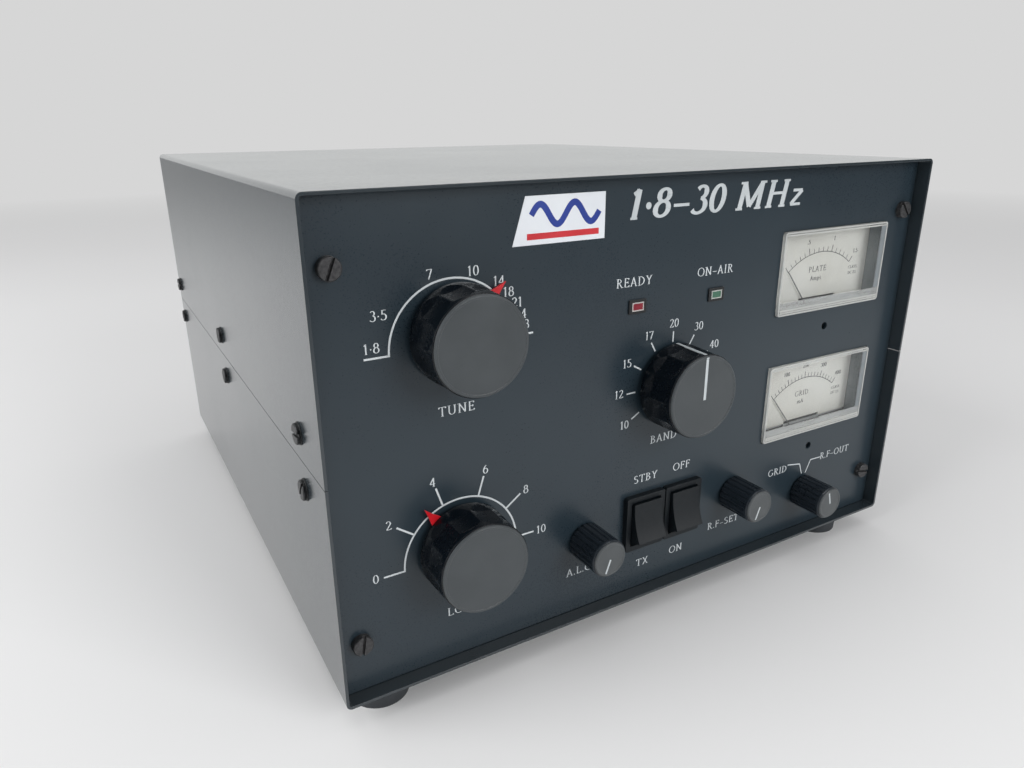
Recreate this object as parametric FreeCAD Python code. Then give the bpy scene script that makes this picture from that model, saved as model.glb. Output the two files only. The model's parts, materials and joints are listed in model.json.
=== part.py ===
import FreeCAD, Part
import math
import os

# A desktop radio-frequency power amplifier: a two-shell steel case round an aluminium chassis.
# Frame: front towards -Y, right towards +X, up +Z, millimetres. The origin is on the surface the
# feet stand on, at the centre of the whole object's length and width.
# Places on the front are given as (from the case's left face, above the case's underside).
# Cutting shapes run 1 mm past the faces they open.

Vector = FreeCAD.Vector

# ---- driving dimensions ------------------------------------------------------------------------
# case
CASE_W = 330.0
CASE_D = 368.0
CASE_H = 202.0
SHEET = 1.2
BEND_R = 2.5
SEAM_UP = 98.0
SEAM_GAP = 0.35
COVER_WASTE = 20.0
FRONT_RECESS = 7.0
REAR_RECESS = 5.0
PANEL_T = 2.0
PANEL_EDGE_GAP = 0.3
PANEL_CORNER_R = 2.0

# feet
FOOT_H = 12.0
FOOT_R = 13.0
FOOT_TOP_R = 14.0
FOOT_FROM_LEFT = 20.3
FOOT_FROM_RIGHT = 30.5
FOOT_INSET_Y = 20.0
FOOT_RECESS_R = 5.5
FOOT_RECESS_H = 6.0

# screws and general clearances
SCREW_R = 2.5
SCREW_HEAD_R = 4.3
SCREW_HEAD_H = 3.2
SLOT_W = 1.3
SLOT_DEPTH = 1.5
WASHER_R = 4.7
WASHER_T = 0.8
COVER_HEAD_H = 1.6
COVER_SLOT_DEPTH = 0.9
COVER_WASHER_T = 0.4
NUT_H = 4.0
HOLE_GAP = 0.1
RUN_GAP = 0.06
FREE_GAP = 0.3
COVER_SCREW_L = 9.0
PANEL_SCREW_L = 8.0
COVER_SCREW_PITCH_Y = 164.0
COVER_SCREW_FIRST_Y = 29.5
COVER_SCREW_FROM_SEAM = 12.0
PANEL_SCREW_INSET = 10.2
PANEL_SCREW_LOW = 24.2
PANEL_SCREW_PITCH_Z = 152.0
HEAD_CHAMFER = 0.4
COVER_SLOT_FIRST = 35.0
COVER_SLOT_STEP = 47.0
FRONT_SLOTS = (100.0, 112.0, 10.0, 50.0)
REAR_SLOT_FIRST = 70.0
REAR_SLOT_STEP = 31.0
FOOT_SLOT = 15.0

# chassis
RAIL_T = 3.0
RAIL_HALF_H = 24.0
POST_LEG = 13.5
POST_T = 3.0
POST_TOP_GAP = 12.0
TRAY_LIFT = 8.8
TRAY_T = 2.0
TRAY_FLANGE = 12.0
TRAY_INSET = 6.8
RELIEF_GAP = 1.0
SCREEN_FROM_LEFT = 118.0
SCREEN_T = 2.0
SCREEN_TOP_GAP = 12.0
SCREEN_L = 175.0
SHELF_L = 112.0
SHELF_START = 12.0

# big knobs: TUNE, LOAD and BAND
TUNE_AT = (57.1, 146.7)
LOAD_AT = (56.6, 55.4)
BAND_AT = (166.3, 106.6)
BIG_R = 20.0
BIG_NOSE_R = 19.4
BIG_REACH = 22.4
BIG_GAP = 2.3
BIG_CAP_R = 19.0
BIG_CAP_T = 1.0
CAP_CHAMFER = 0.5
CAP_RIM = 0.8
CAP_DISH = 0.12
EDGE_BREAK = 0.3
FLUTES = 12
FLUTE_DEPTH = 1.1
FLUTE_CUTTER_R = 24.0
FLUTE_FRONT_END = 2.2
FLUTE_REAR_END = 4.5
FLUTE_END_GAP = 0.1
NOSE_RING_L = 1.2
SKIRT_L = 1.5
POINTER_T = 0.8
POINTER_R = 27.5
POINTER_DISC_R = 15.0
POINTER_HALF_W = 3.0
POINTER_TIP_HALF_W = 1.1
POINTER_ROOT_IN = 2.0
POINTER_POINT_L = 4.0
TUNE_ANGLE = 41.0
LOAD_ANGLE = 128.0

# small knobs: ALC, RF SET and the meter selector
ALC_AT = (119.6, 38.0)
RF_SET_AT = (213.0, 38.0)
SELECT_AT = (268.5, 24.5)
SMALL_R = 9.0
SMALL_REACH = 20.0
SMALL_GAP = 1.0
SMALL_CAP_R = 8.3
SMALL_CAP_T = 0.9
SMALL_COLLAR = 1.6
RIBS = 20
RIB_CUTTER_R = 0.75
NUT_ROOM = 0.8

# shafts and what carries them
SHAFT_R = 3.0
SHAFT_IN_KNOB = 13.0
BUSH_R = 4.9
BUSH_FLANGE_R = 7.5
BUSH_FLANGE_T = 1.0
BUSH_L = 8.0
NUT_R = 7.0
BUSH_NUT_T = 3.0
POT_R = 12.0
POT_L = 11.0
POT_BUSH_R = 3.5
POT_NUT_R = 5.4
POT_NUT_T = 2.0
POT_SHAFT_DEPTH = 7.0
TAG_PITCH = 5.0
TAG_W = 2.0
TAG_L = 6.0
TAG_T = 0.8

# variable capacitors
CAP_FRONT_GAP = 22.0
CAP_L = 80.0
CAP_PLATE_T = 3.0
CAP_HALF_W = 28.0
CAP_ABOVE_AXIS = 27.0
VANE_R = 24.0
VANE_T = 0.8
VANE_PITCH = 4.4
VANES = 14
VANE_MARGIN = 1.0
VANE_BELOW_AXIS = 1.5
VANE_SHAFT_ROOM = 2.0
STATOR_ROD_R = 2.0
STATOR_ROD_OUT = 20.0

# band switch
BAND_WAFERS = 3
WAFER_R = 28.0
WAFER_BORE_R = 12.0
WAFER_T = 3.0
WAFER_PITCH = 24.0
WAFER_FIRST = 30.0
INDEX_R = 20.0
INDEX_L = 9.0
WAFER_ROD_R = 1.5
WAFER_ROD_OUT = 17.0

# rocker switches
ROCKERS_AT = (165.1, 39.3)
ROCKER_PITCH = 23.6
BEZEL_W = 22.9
BEZEL_H = 28.6
BEZEL_PROUD = 3.0
BEZEL_CORNER_R = 1.0
HOUSING_W = 21.4
HOUSING_H = 26.0
HOUSING_L = 26.0
ROCKER_W = 16.6
ROCKER_H = 19.6
ROCKER_OPEN_W = 17.4
ROCKER_OPEN_H = 23.4
ROCKER_AXIS_BEHIND = 0.8
ROCKER_END_OUT = 7.9
ROCKER_DISH = 1.2
ROCKER_TILT = 13.5
FLANK_R = 11.4
FLANK_ANGLES = (32.0, 18.0, 5.0)
ROCKER_BACK = 5.0
ROCKER_BACK_HALF = 4.0
SWITCH_TAG_W = 6.0
SWITCH_TAG_L = 8.0
SWITCH_TAG_PITCH = (10.0, 8.0)
TRUNNION_R = 1.5
TRUNNION_L = 1.0

# panel meters
METER_FROM_RIGHT = 59.7
METER_ZS = (150.1, 81.7)
METER_W = 77.0
METER_H = 41.5
METER_PROUD = 1.5
LENS_WALL = 2.0
METER_EDGE_GAP = 0.2
METER_FLANGE_T = 2.5
METER_FLANGE_SIDE = 2.0
METER_BODY_DOWN = 42.0
METER_BODY_L = 26.0
METER_WALL = 2.0
DIAL_BEHIND = 7.0
DIAL_T = 0.8
DIAL_SIDE_GAP = 0.3
PIVOT_BELOW = 30.4
NEEDLE_R = 38.4
NEEDLE_TAIL = 6.0
NEEDLE_T = 0.4
NEEDLE_TIP_HALF = 0.15
NEEDLE_ANGLE = 130.0
NEEDLE_HUB_R = 3.5
NEEDLE_BEFORE_DIAL = 0.8
ADJUST_BELOW = 30.6
ADJUST_R = 2.0
MOVEMENT_R = 14.0
BOSS_R = 11.0
BOSS_BEHIND_DIAL = 3.0
PIVOT_R = 1.0
PIVOT_L = 8.0
DIAL_RIB_W = 3.0
DIAL_RIB_H = 28.0
DIAL_RIB_IN = 8.0
DIAL_CUT_LOW = 3.5
DIAL_SLOT_UP = 1.4
WINDOW_CORNER_R = 1.5
BLADE_HALF = 0.28

# indicator lamps
LAMPS_X = (144.0, 190.0)
LAMP_Z = 146.0
LAMP_BEZEL = (9.3, 6.2)
LAMP_BODY = (8.2, 5.1)
LAMP_LENS = (6.3, 3.9)
LAMP_PROUD = 0.8
LAMP_BODY_L = 7.0
LAMP_BACK_T = 1.5
LAMP_LENS_PROUD = 0.1
LAMP_CORNER_R = 0.4

# valves and their deck
DECK_UP = 40.0
DECK_T = 2.0
DECK_FROM_LEFT = 12.0
DECK_W = 138.0
DECK_L = 138.0
DECK_FROM_REAR = 27.0
VALVE_PITCH = 68.0
VALVE_BASE_R = 20.5
VALVE_BASE_H = 30.0
VALVE_R = 30.0
VALVE_H = 146.0
GLASS_T = 1.2
VALVE_CAP_R = 7.0
VALVE_CAP_H = 12.0
VALVE_CENTRE_R = 5.0
VALVE_HOLE_GAP = 0.7
NECK_INSET = 2.5
NECK_FLARE = 1.0
NECK_L = 12.0
SHOULDER_SHARE = 0.72
SHOULDER_DROP = 18.0
VALVE_STEM_R = 7.0
VALVE_STEM_H = 22.0
ANODE = (30.0, 18.0)
ANODE_UP = 21.0
ANODE_FROM_TOP = 52.0
SOCKET_R = 25.0
SOCKET_H = 14.0
PIN_R = 2.0
PIN_L = 9.0
PIN_CIRCLE_R = 11.0

# coils
COIL_Y = 106.0
COIL_L = 64.0
COIL_R = 25.0
COIL_TURNS = 11
COIL_WIRE_R = 2.2
FORMER_T = 3.0
CHEEK_T = 3.0
CHEEK_HALF_W = 32.0
CHOKE_R = 9.0
CHOKE_L = 90.0
CHOKE_WIRE_R = 0.9
CHOKE_TURNS = 30
CHOKE_END = 5.0

# power supply
TOROID_R = 74.0
TOROID_BORE_R = 22.0
TOROID_H = 66.0
TOROID_FROM_RIGHT = 87.0
TOROID_FROM_REAR = 99.0
TOROID_EDGE_R = 12.0
CLAMP_R = 38.0
CLAMP_T = 2.5
CLAMP_BOLT_R = 4.0
CLAMP_HEAD_R = 7.2
CLAMP_HEAD_H = 6.0
BOARD_T = 1.6
BOARD_W = 154.0
BOARD_L = 146.0
BOARD_CLEAR = 14.0
PILLAR_R = 4.0
PILLAR_INSET = 5.5
RESERVOIR_R = 15.0
RESERVOIR_H = 50.0
RESERVOIR_PITCH_X = 36.0
RESERVOIR_PITCH_Y = 70.0
RESERVOIR_EDGE_R = 1.5
CONTROL_W = 118.0
CONTROL_L = 115.0
CONTROL_UP = 8.0
CONTROL_START = 52.0
CONTROL_FROM_RIGHT = 68.7
RELAY = (28.0, 30.0, 25.0)
RELAY_PITCH = 38.0

# cooling fan
FAN_FROM_LEFT = 81.0
FAN_UP = 110.0
FAN_SIZE = 80.0
FAN_T = 25.0
FAN_BORE_R = 37.0
FAN_HUB_R = 16.0
FAN_ROTOR_R = 35.5
FAN_BLADES = 7
FAN_BLADE_T = 1.6
FAN_BLADE_W = 17.0
FAN_BLADE_ANGLE = 38.0
FAN_MOTOR_T = 4.0
FAN_SHAFT_R = 2.0
FAN_HOLE_PITCH = 71.5
FAN_HOLE_L = 10.0
FAN_CORNER_R = 4.0
FAN_ARM_W = 4.0
FAN_HUB_BACK = 2.0
SHAFT_END_GAP = 1.0
GUARD_RINGS = 4
GUARD_WIRE_R = 1.0
GUARD_OUT = 3.5
GUARD_BAR_BEHIND = 1.5
GUARD_PIN_L = 8.0

# rear connectors, from the case's right face and above its underside
COAX_ATS = ((115.0, 156.0), (75.0, 156.0))
COAX_R = 7.94
COAX_L = 11.0
COAX_FLANGE = 25.4
COAX_FLANGE_T = 1.6
COAX_CONTACT_R = 2.0
COAX_BORE_L = 8.0
COAX_TAIL_R = 6.0
COAX_TAIL_L = 12.0
COAX_PIN_OUT = 5.0
FLANGE_CORNER_R = 2.0
PHONO_ATS = ((119.0, 118.0), (95.0, 118.0), (71.0, 118.0))
PHONO_R = 4.1
PHONO_L = 8.0
PHONO_BORE_R = 1.7
PHONO_FLANGE_R = 6.5
PHONO_FLANGE_T = 1.5
PHONO_TAIL_L = 6.0
PHONO_NUT_T = 2.5
FUSE_ATS = ((34.0, 92.0), (34.0, 66.0))
FUSE_CAP_R = 7.5
FUSE_CAP_L = 4.8
FUSE_BODY_R = 6.3
FUSE_BODY_L = 22.0
FUSE_SLOT = (8.0, 1.2)
FUSE_SLOT_DEPTH = 1.0
FUSE_NUT_R = 8.5
FUSE_NUT_T = 4.0
INLET_AT = (44.0, 38.0)
INLET_FLANGE = (30.0, 24.0)
INLET_BODY = (27.0, 20.0)
INLET_RECESS = (24.0, 16.5)
INLET_RECESS_L = 16.0
INLET_BODY_L = 20.0
INLET_FLANGE_T = 2.5
INLET_BLADE = (2.0, 4.0)
INLET_BLADE_L = 12.0
INLET_BLADES_AT = ((-7.0, 2.0), (0.0, 5.5), (7.0, 2.0))
EARTH_AT = (86.0, 32.0)
EARTH_STUD_L = 18.0
EARTH_NUT_R = 8.0
EARTH_NUT_H = 7.0
EARTH_TAIL_L = 8.0
KNURLS = 24
KNURL_R = 0.8
KNURL_OUT = 0.2

# ---- places that follow from them --------------------------------------------------------------
FRONT_PROUD = BIG_REACH - FRONT_RECESS
REAR_PROUD = EARTH_STUD_L - REAR_RECESS
CASE_FRONT = (FRONT_PROUD - CASE_D - REAR_PROUD) / 2
CASE_BACK = CASE_FRONT + CASE_D
PANEL_FRONT = CASE_FRONT + FRONT_RECESS
PANEL_BACK = PANEL_FRONT + PANEL_T
REAR_FACE = CASE_BACK - REAR_RECESS
REAR_INSIDE = REAR_FACE - PANEL_T
CASE_LOW = FOOT_H
CASE_TOP = FOOT_H + CASE_H
LEFT = -CASE_W / 2
RIGHT = CASE_W / 2
INNER_LEFT = LEFT + SHEET
INNER_RIGHT = RIGHT - SHEET
SEAM_Z = FOOT_H + SEAM_UP
TRAY_LOW = CASE_LOW + SHEET + TRAY_LIFT
TRAY_TOP = TRAY_LOW + TRAY_T
CAP_FEET = CASE_LOW + LOAD_AT[1] - TRAY_TOP
SHELF_TOP = CASE_LOW + TUNE_AT[1] - CAP_FEET
SHELF_LOW = SHELF_TOP - SCREEN_T
CAP_FRONT = PANEL_BACK + CAP_FRONT_GAP
DECK_TOP = CASE_LOW + DECK_UP
DECK_LOW = DECK_TOP - DECK_T
DECK_BACK = REAR_INSIDE - DECK_FROM_REAR
DECK_FRONT = DECK_BACK - DECK_L
TOROID_X = RIGHT - TOROID_FROM_RIGHT
TOROID_Y = REAR_INSIDE - TOROID_FROM_REAR
TOROID_TOP = TRAY_TOP + CLAMP_T + TOROID_H
BOARD_LOW = TOROID_TOP + CLAMP_T + BOARD_CLEAR
METER_X = CASE_W - METER_FROM_RIGHT
DIAL_FRONT = PANEL_FRONT + DIAL_BEHIND
ROCKER_AXIS_Y = PANEL_FRONT + ROCKER_AXIS_BEHIND


# ---- shape helpers -----------------------------------------------------------------------------
def front_place(at):
    """(x, z) in the part's frame of a place on the front panel."""
    return LEFT + at[0], CASE_LOW + at[1]


def rear_place(at):
    """(x, z) in the part's frame of a place on the rear panel, given from the right face."""
    return RIGHT - at[0], CASE_LOW + at[1]


def box(x0, x1, y0, y1, z0, z1):
    return Part.makeBox(x1 - x0, y1 - y0, z1 - z0, Vector(x0, y0, z0))


def centred_box(x, z, width, height, y0, y1):
    return box(x - width / 2, x + width / 2, y0, y1, z - height / 2, z + height / 2)


def rod_x(radius, y, z, x0, x1):
    return Part.makeCylinder(radius, x1 - x0, Vector(x0, y, z), Vector(1, 0, 0))


def rod_y(radius, x, z, y0, y1):
    return Part.makeCylinder(radius, y1 - y0, Vector(x, y0, z), Vector(0, 1, 0))


def rod_z(radius, x, y, z0, z1):
    return Part.makeCylinder(radius, z1 - z0, Vector(x, y, z0), Vector(0, 0, 1))


def fuse(shapes):
    return shapes[0].multiFuse(shapes[1:]).removeSplitter()


def cut(shape, tools):
    return shape.cut(Part.makeCompound(tools)).removeSplitter()


def group(shapes):
    """Several separate solids that share one node."""
    return Part.makeCompound([solid for shape in shapes for solid in shape.Solids])


def spin(shape, x, z, angle):
    """A copy turned about the line through (x, z) along Y, anticlockwise seen from the front."""
    copy = shape.copy()
    copy.rotate(Vector(x, 0, z), Vector(0, -1, 0), angle)
    return copy


def revolve_y(profile, x, z):
    """A solid of revolution about the line through (x, z) along Y; profile is (radius, y) points."""
    points = [Vector(r, y, 0) for r, y in profile]
    face = Part.Face(Part.makePolygon(points + points[:1]))
    solid = face.revolve(Vector(0, 0, 0), Vector(0, 1, 0), 360)
    solid.translate(Vector(x, 0, z))
    return solid


def revolve_z(wire, x, y):
    """A solid of revolution about the line through (x, y) along Z; wire lies in the XZ plane."""
    solid = Part.Face(wire).revolve(Vector(0, 0, 0), Vector(0, 0, 1), 360)
    solid.translate(Vector(x, y, 0))
    return solid


def prism_x(points, x0, x1):
    """A prism along X from x0 to x1; points are (y, z)."""
    corners = [Vector(x0, y, z) for y, z in points]
    return Part.Face(Part.makePolygon(corners + corners[:1])).extrude(Vector(x1 - x0, 0, 0))


def prism_y(points, y0, y1):
    """A prism along Y from y0 to y1; points are (x, z)."""
    corners = [Vector(x, y0, z) for x, z in points]
    return Part.Face(Part.makePolygon(corners + corners[:1])).extrude(Vector(0, y1 - y0, 0))


def edges_along(shape, axis, length):
    """The straight edges of a shape that run a given length along one axis, 0 X, 1 Y or 2 Z."""
    found = []
    for edge in shape.Edges:
        step = edge.Vertexes[-1].Point - edge.Vertexes[0].Point
        sides = [abs(step.x), abs(step.y), abs(step.z)]
        if abs(sides[axis] - length) < 1e-6 and abs(sum(sides) - length) < 1e-6:
            found.append(edge)
    return found


def rounded_block(x, z, width, height, y0, y1, radius):
    """A block with its four long edges, those along Y, rounded."""
    block = centred_box(x, z, width, height, y0, y1)
    return block.makeFillet(radius, edges_along(block, 1, y1 - y0))


# ---- fasteners ---------------------------------------------------------------------------------
def cheese_screw(length, head_h, slot_depth):
    """A slotted cheese-head screw along +Z, its head's seat at the origin and its head below it."""
    head = rod_z(SCREW_HEAD_R, 0, 0, -head_h, 0)
    head = head.makeChamfer(HEAD_CHAMFER, [e for e in head.Edges if e.BoundBox.ZMax < 0.001 - head_h])
    shank = rod_z(SCREW_R, 0, 0, 0, length)
    slot = box(-SCREW_HEAD_R - 1, SCREW_HEAD_R + 1, -SLOT_W / 2, SLOT_W / 2, -head_h - 1, slot_depth - head_h)
    return cut(fuse([head, shank]), [slot])


def place_screw(length, at, direction, slot_angle, head_h=SCREW_HEAD_H, slot_depth=SLOT_DEPTH):
    screw = cheese_screw(length, head_h, slot_depth)
    screw.rotate(Vector(0, 0, 0), Vector(0, 0, 1), slot_angle)
    turn = FreeCAD.Rotation(Vector(0, 0, 1), Vector(*direction))
    screw.Placement = FreeCAD.Placement(Vector(*at), turn).multiply(screw.Placement)
    return screw


def cover_screw_places():
    """(y, z) of every cover screw on one side of the case."""
    rows = (SEAM_Z - COVER_SCREW_FROM_SEAM, SEAM_Z + COVER_SCREW_FROM_SEAM)
    ys = [CASE_FRONT + COVER_SCREW_FIRST_Y + i * COVER_SCREW_PITCH_Y for i in range(3)]
    return [(y, z) for y in ys for z in rows]


def cover_screws():
    parts = []
    for i, (y, z) in enumerate(cover_screw_places()):
        for side in (-1, 1):
            face = side * CASE_W / 2
            washer = rod_x(WASHER_R, y, z, *sorted((face, face + side * COVER_WASHER_T)))
            hole = rod_x(SCREW_R + HOLE_GAP, y, z, face - 2 * COVER_WASHER_T, face + 2 * COVER_WASHER_T)
            parts.append(cut(washer, [hole]))
            seat = (face + side * COVER_WASHER_T, y, z)
            turn = COVER_SLOT_FIRST + COVER_SLOT_STEP * i
            parts.append(place_screw(COVER_SCREW_L, seat, (-side, 0, 0), turn, COVER_HEAD_H, COVER_SLOT_DEPTH))
    return group(parts)


def panel_screw_places():
    """(x, z) of the four corner screws of the front panel, and of the rear one."""
    x = CASE_W / 2 - PANEL_SCREW_INSET
    low = CASE_LOW + PANEL_SCREW_LOW
    return [(sx, z) for sx in (-x, x) for z in (low, low + PANEL_SCREW_PITCH_Z)]


def foot_places():
    """(x, y) of the feet."""
    ys = (CASE_FRONT + FOOT_INSET_Y, CASE_BACK - FOOT_INSET_Y)
    return [(x, y) for x in (LEFT + FOOT_FROM_LEFT, RIGHT - FOOT_FROM_RIGHT) for y in ys]


def panel_screws():
    parts = []
    for i, (x, z) in enumerate(panel_screw_places()):
        rear_turn = REAR_SLOT_FIRST + REAR_SLOT_STEP * i
        parts.append(place_screw(PANEL_SCREW_L, (x, PANEL_FRONT, z), (0, 1, 0), FRONT_SLOTS[i]))
        parts.append(place_screw(PANEL_SCREW_L, (x, REAR_FACE, z), (0, -1, 0), rear_turn))
    seat = FOOT_RECESS_H
    nut_low = CASE_LOW + SHEET
    for x, y in foot_places():
        parts.append(place_screw(nut_low + NUT_H - seat, (x, y, seat), (0, 0, 1), FOOT_SLOT))
        nut = rod_z(SCREW_HEAD_R, x, y, nut_low, nut_low + NUT_H)
        parts.append(cut(nut, [rod_z(SCREW_R + HOLE_GAP, x, y, nut_low - 1, nut_low + NUT_H + 1)]))
    return group(parts)


# ---- case --------------------------------------------------------------------------------------
def cover(z0, z1, open_side):
    """A three-sided sheet shell, open front and back, and open upwards (1) or downwards (-1)."""
    low, high = (z0, z1 + COVER_WASTE) if open_side > 0 else (z0 - COVER_WASTE, z1)
    outer = box(LEFT, RIGHT, CASE_FRONT, CASE_BACK, low, high)
    inner = box(INNER_LEFT, INNER_RIGHT, CASE_FRONT - 1, CASE_BACK + 1, low + SHEET, high - SHEET)
    outer = outer.makeFillet(BEND_R, edges_along(outer, 1, CASE_D))
    inner = inner.makeFillet(BEND_R - SHEET, edges_along(inner, 1, CASE_D + 2))
    waste = box(LEFT - 1, RIGHT + 1, CASE_FRONT - 2, CASE_BACK + 2,
                z1 if open_side > 0 else low - 1, high + 1 if open_side > 0 else z0)
    holes = [rod_x(SCREW_R + HOLE_GAP, y, z, LEFT - 1, RIGHT + 1) for y, z in cover_screw_places()]
    return cut(outer, [inner, waste] + [h for h in holes if z0 < h.BoundBox.Center.z < z1])


def upper_cover():
    return cover(SEAM_Z + SEAM_GAP / 2, CASE_TOP, -1)


def lower_cover():
    shell = cover(CASE_LOW, SEAM_Z - SEAM_GAP / 2, 1)
    holes = [rod_z(SCREW_R + HOLE_GAP, x, y, CASE_LOW - 1, CASE_LOW + SHEET + 1) for x, y in foot_places()]
    return cut(shell, holes)


def panel_blank(y0):
    """A panel that fills the case's mouth with a small gap, with its four screw holes."""
    width = CASE_W - 2 * (SHEET + PANEL_EDGE_GAP)
    height = CASE_H - 2 * (SHEET + PANEL_EDGE_GAP)
    middle = CASE_LOW + CASE_H / 2
    blank = rounded_block(0, middle, width, height, y0, y0 + PANEL_T, PANEL_CORNER_R)
    holes = [rod_y(SCREW_R + HOLE_GAP, x, z, y0 - 1, y0 + PANEL_T + 1) for x, z in panel_screw_places()]
    return cut(blank, holes)


def front_panel():
    y0, y1 = PANEL_FRONT - 1, PANEL_BACK + 1
    holes = []
    for at in (TUNE_AT, LOAD_AT, BAND_AT):
        holes.append(rod_y(BUSH_R + HOLE_GAP, *front_place(at), y0, y1))
    for at in (ALC_AT, RF_SET_AT, SELECT_AT):
        holes.append(rod_y(POT_BUSH_R + HOLE_GAP, *front_place(at), y0, y1))
    for x, z in rocker_places():
        holes.append(centred_box(x, z, HOUSING_W + 2 * HOLE_GAP, HOUSING_H + 2 * HOLE_GAP, y0, y1))
    for x, z in meter_places():
        window = (METER_W + 2 * METER_EDGE_GAP, METER_H + 2 * METER_EDGE_GAP)
        holes.append(centred_box(x, z, *window, y0, y1))
        holes.append(rod_y(ADJUST_R, x, z - ADJUST_BELOW, y0, y1))
    for x, z in lamp_places():
        window = (LAMP_BODY[0] + 2 * HOLE_GAP, LAMP_BODY[1] + 2 * HOLE_GAP)
        holes.append(centred_box(x, z, *window, y0, y1))
    return cut(panel_blank(PANEL_FRONT), holes)


def rear_panel():
    y0, y1 = REAR_INSIDE - 1, REAR_FACE + 1
    holes = [rod_y(FAN_BORE_R, *fan_place(), y0, y1)]
    holes += [rod_y(GUARD_WIRE_R + HOLE_GAP, *place, y0, y1) for place in fan_corners()]
    holes += [rod_y(COAX_TAIL_R + HOLE_GAP, *rear_place(at), y0, y1) for at in COAX_ATS]
    holes += [rod_y(PHONO_R + HOLE_GAP, *rear_place(at), y0, y1) for at in PHONO_ATS]
    holes += [rod_y(FUSE_BODY_R + HOLE_GAP, *rear_place(at), y0, y1) for at in FUSE_ATS]
    holes.append(rod_y(SCREW_R + HOLE_GAP, *rear_place(EARTH_AT), y0, y1))
    inlet = (INLET_BODY[0] + 2 * HOLE_GAP, INLET_BODY[1] + 2 * HOLE_GAP)
    holes.append(centred_box(*rear_place(INLET_AT), *inlet, y0, y1))
    return cut(panel_blank(REAR_INSIDE), holes)


def feet():
    parts = []
    for x, y in foot_places():
        body = Part.makeCone(FOOT_R, FOOT_TOP_R, FOOT_H, Vector(x, y, 0))
        recess = rod_z(FOOT_RECESS_R, x, y, -1, FOOT_RECESS_H)
        parts.append(cut(body, [recess, rod_z(SCREW_R + HOLE_GAP, x, y, -1, FOOT_H + 1)]))
    return group(parts)


# ---- chassis -----------------------------------------------------------------------------------
def chassis_frame():
    """Two side rails that the covers screw to, and four corner posts behind the panels."""
    side_holes = [rod_x(SCREW_R + HOLE_GAP, y, z, LEFT - 1, RIGHT + 1) for y, z in cover_screw_places()]
    front_holes = [rod_y(SCREW_R + HOLE_GAP, x, z, CASE_FRONT, CASE_BACK) for x, z in panel_screw_places()]
    parts = []
    for side in (-1, 1):
        x0, x1 = sorted((side * INNER_RIGHT, side * (INNER_RIGHT - RAIL_T)))
        rail = box(x0, x1, PANEL_BACK, REAR_INSIDE, SEAM_Z - RAIL_HALF_H, SEAM_Z + RAIL_HALF_H)
        parts.append(cut(rail, side_holes))
        inner = INNER_RIGHT - RAIL_T
        for face, way in ((PANEL_BACK, 1), (REAR_INSIDE, -1)):
            z0, z1 = TRAY_TOP, CASE_TOP - POST_TOP_GAP
            a0, a1 = sorted((side * inner, side * (inner - POST_LEG)))
            b0, b1 = sorted((side * inner, side * (inner - POST_T)))
            flange = box(a0, a1, *sorted((face, face + way * POST_T)), z0, z1)
            web = box(b0, b1, *sorted((face, face + way * POST_LEG)), z0, z1)
            parts.append(cut(fuse([flange, web]), side_holes + front_holes))
    return group(parts)


def base_tray():
    """The floor plate, turned up at its front and rear to meet the panels between the posts."""
    x = CASE_W / 2 - TRAY_INSET
    inner = INNER_RIGHT - RAIL_T - POST_LEG - FREE_GAP
    plate = box(-x, x, PANEL_BACK, REAR_INSIDE, TRAY_LOW, TRAY_TOP)
    front = box(-inner, inner, PANEL_BACK, PANEL_BACK + TRAY_T, TRAY_LOW, TRAY_TOP + TRAY_FLANGE)
    rear = box(-inner, inner, REAR_INSIDE - TRAY_T, REAR_INSIDE, TRAY_LOW, TRAY_TOP + TRAY_FLANGE)
    selector = rod_y(POT_R + RELIEF_GAP, *front_place(SELECT_AT), PANEL_BACK - 1, PANEL_BACK + TRAY_T + 1)
    return cut(fuse([plate, front, rear]), [selector])


def capacitor_bracket():
    """A folded plate: the upright screen beside the capacitors and the shelf for the upper one."""
    x = LEFT + SCREEN_FROM_LEFT
    shelf_y = PANEL_BACK + SHELF_START
    screen = box(x, x + SCREEN_T, PANEL_BACK + TRAY_T, PANEL_BACK + SCREEN_L,
                 TRAY_TOP, CASE_TOP - SCREEN_TOP_GAP)
    shelf = box(INNER_LEFT + RAIL_T, x, shelf_y, shelf_y + SHELF_L, SHELF_LOW, SHELF_TOP)
    alc_x, alc_z = front_place(ALC_AT)
    relief = rod_y(POT_R + RELIEF_GAP, alc_x, alc_z, PANEL_BACK - 1, PANEL_BACK + POT_L + TAG_L + 1)
    post = box(INNER_LEFT, INNER_LEFT + RAIL_T + POST_T + FREE_GAP, PANEL_BACK,
               PANEL_BACK + POST_LEG + FREE_GAP, SHELF_LOW - 1, SHELF_TOP + 1)
    return cut(fuse([screen, shelf]), [relief, post])


# ---- knobs and pointers ------------------------------------------------------------------------
def flute_cutter(x, z, front, rear):
    """A barrel beside the knob: it bites to the flutes' depth and rises out again at both ends."""
    off = BIG_NOSE_R - FLUTE_DEPTH + FLUTE_CUTTER_R
    slope = (BIG_R - BIG_NOSE_R) / (rear - front)
    start, end = front + NOSE_RING_L, rear - SKIRT_L
    stations = ((start, -FLUTE_END_GAP), (start + FLUTE_FRONT_END, FLUTE_DEPTH),
                (end - FLUTE_REAR_END, FLUTE_DEPTH), (end, -FLUTE_END_GAP))
    side = [(off - BIG_NOSE_R - slope * (y - front) + depth, y) for y, depth in stations]
    return revolve_y([(0, start)] + side + [(0, end)], x + off, z)


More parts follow.
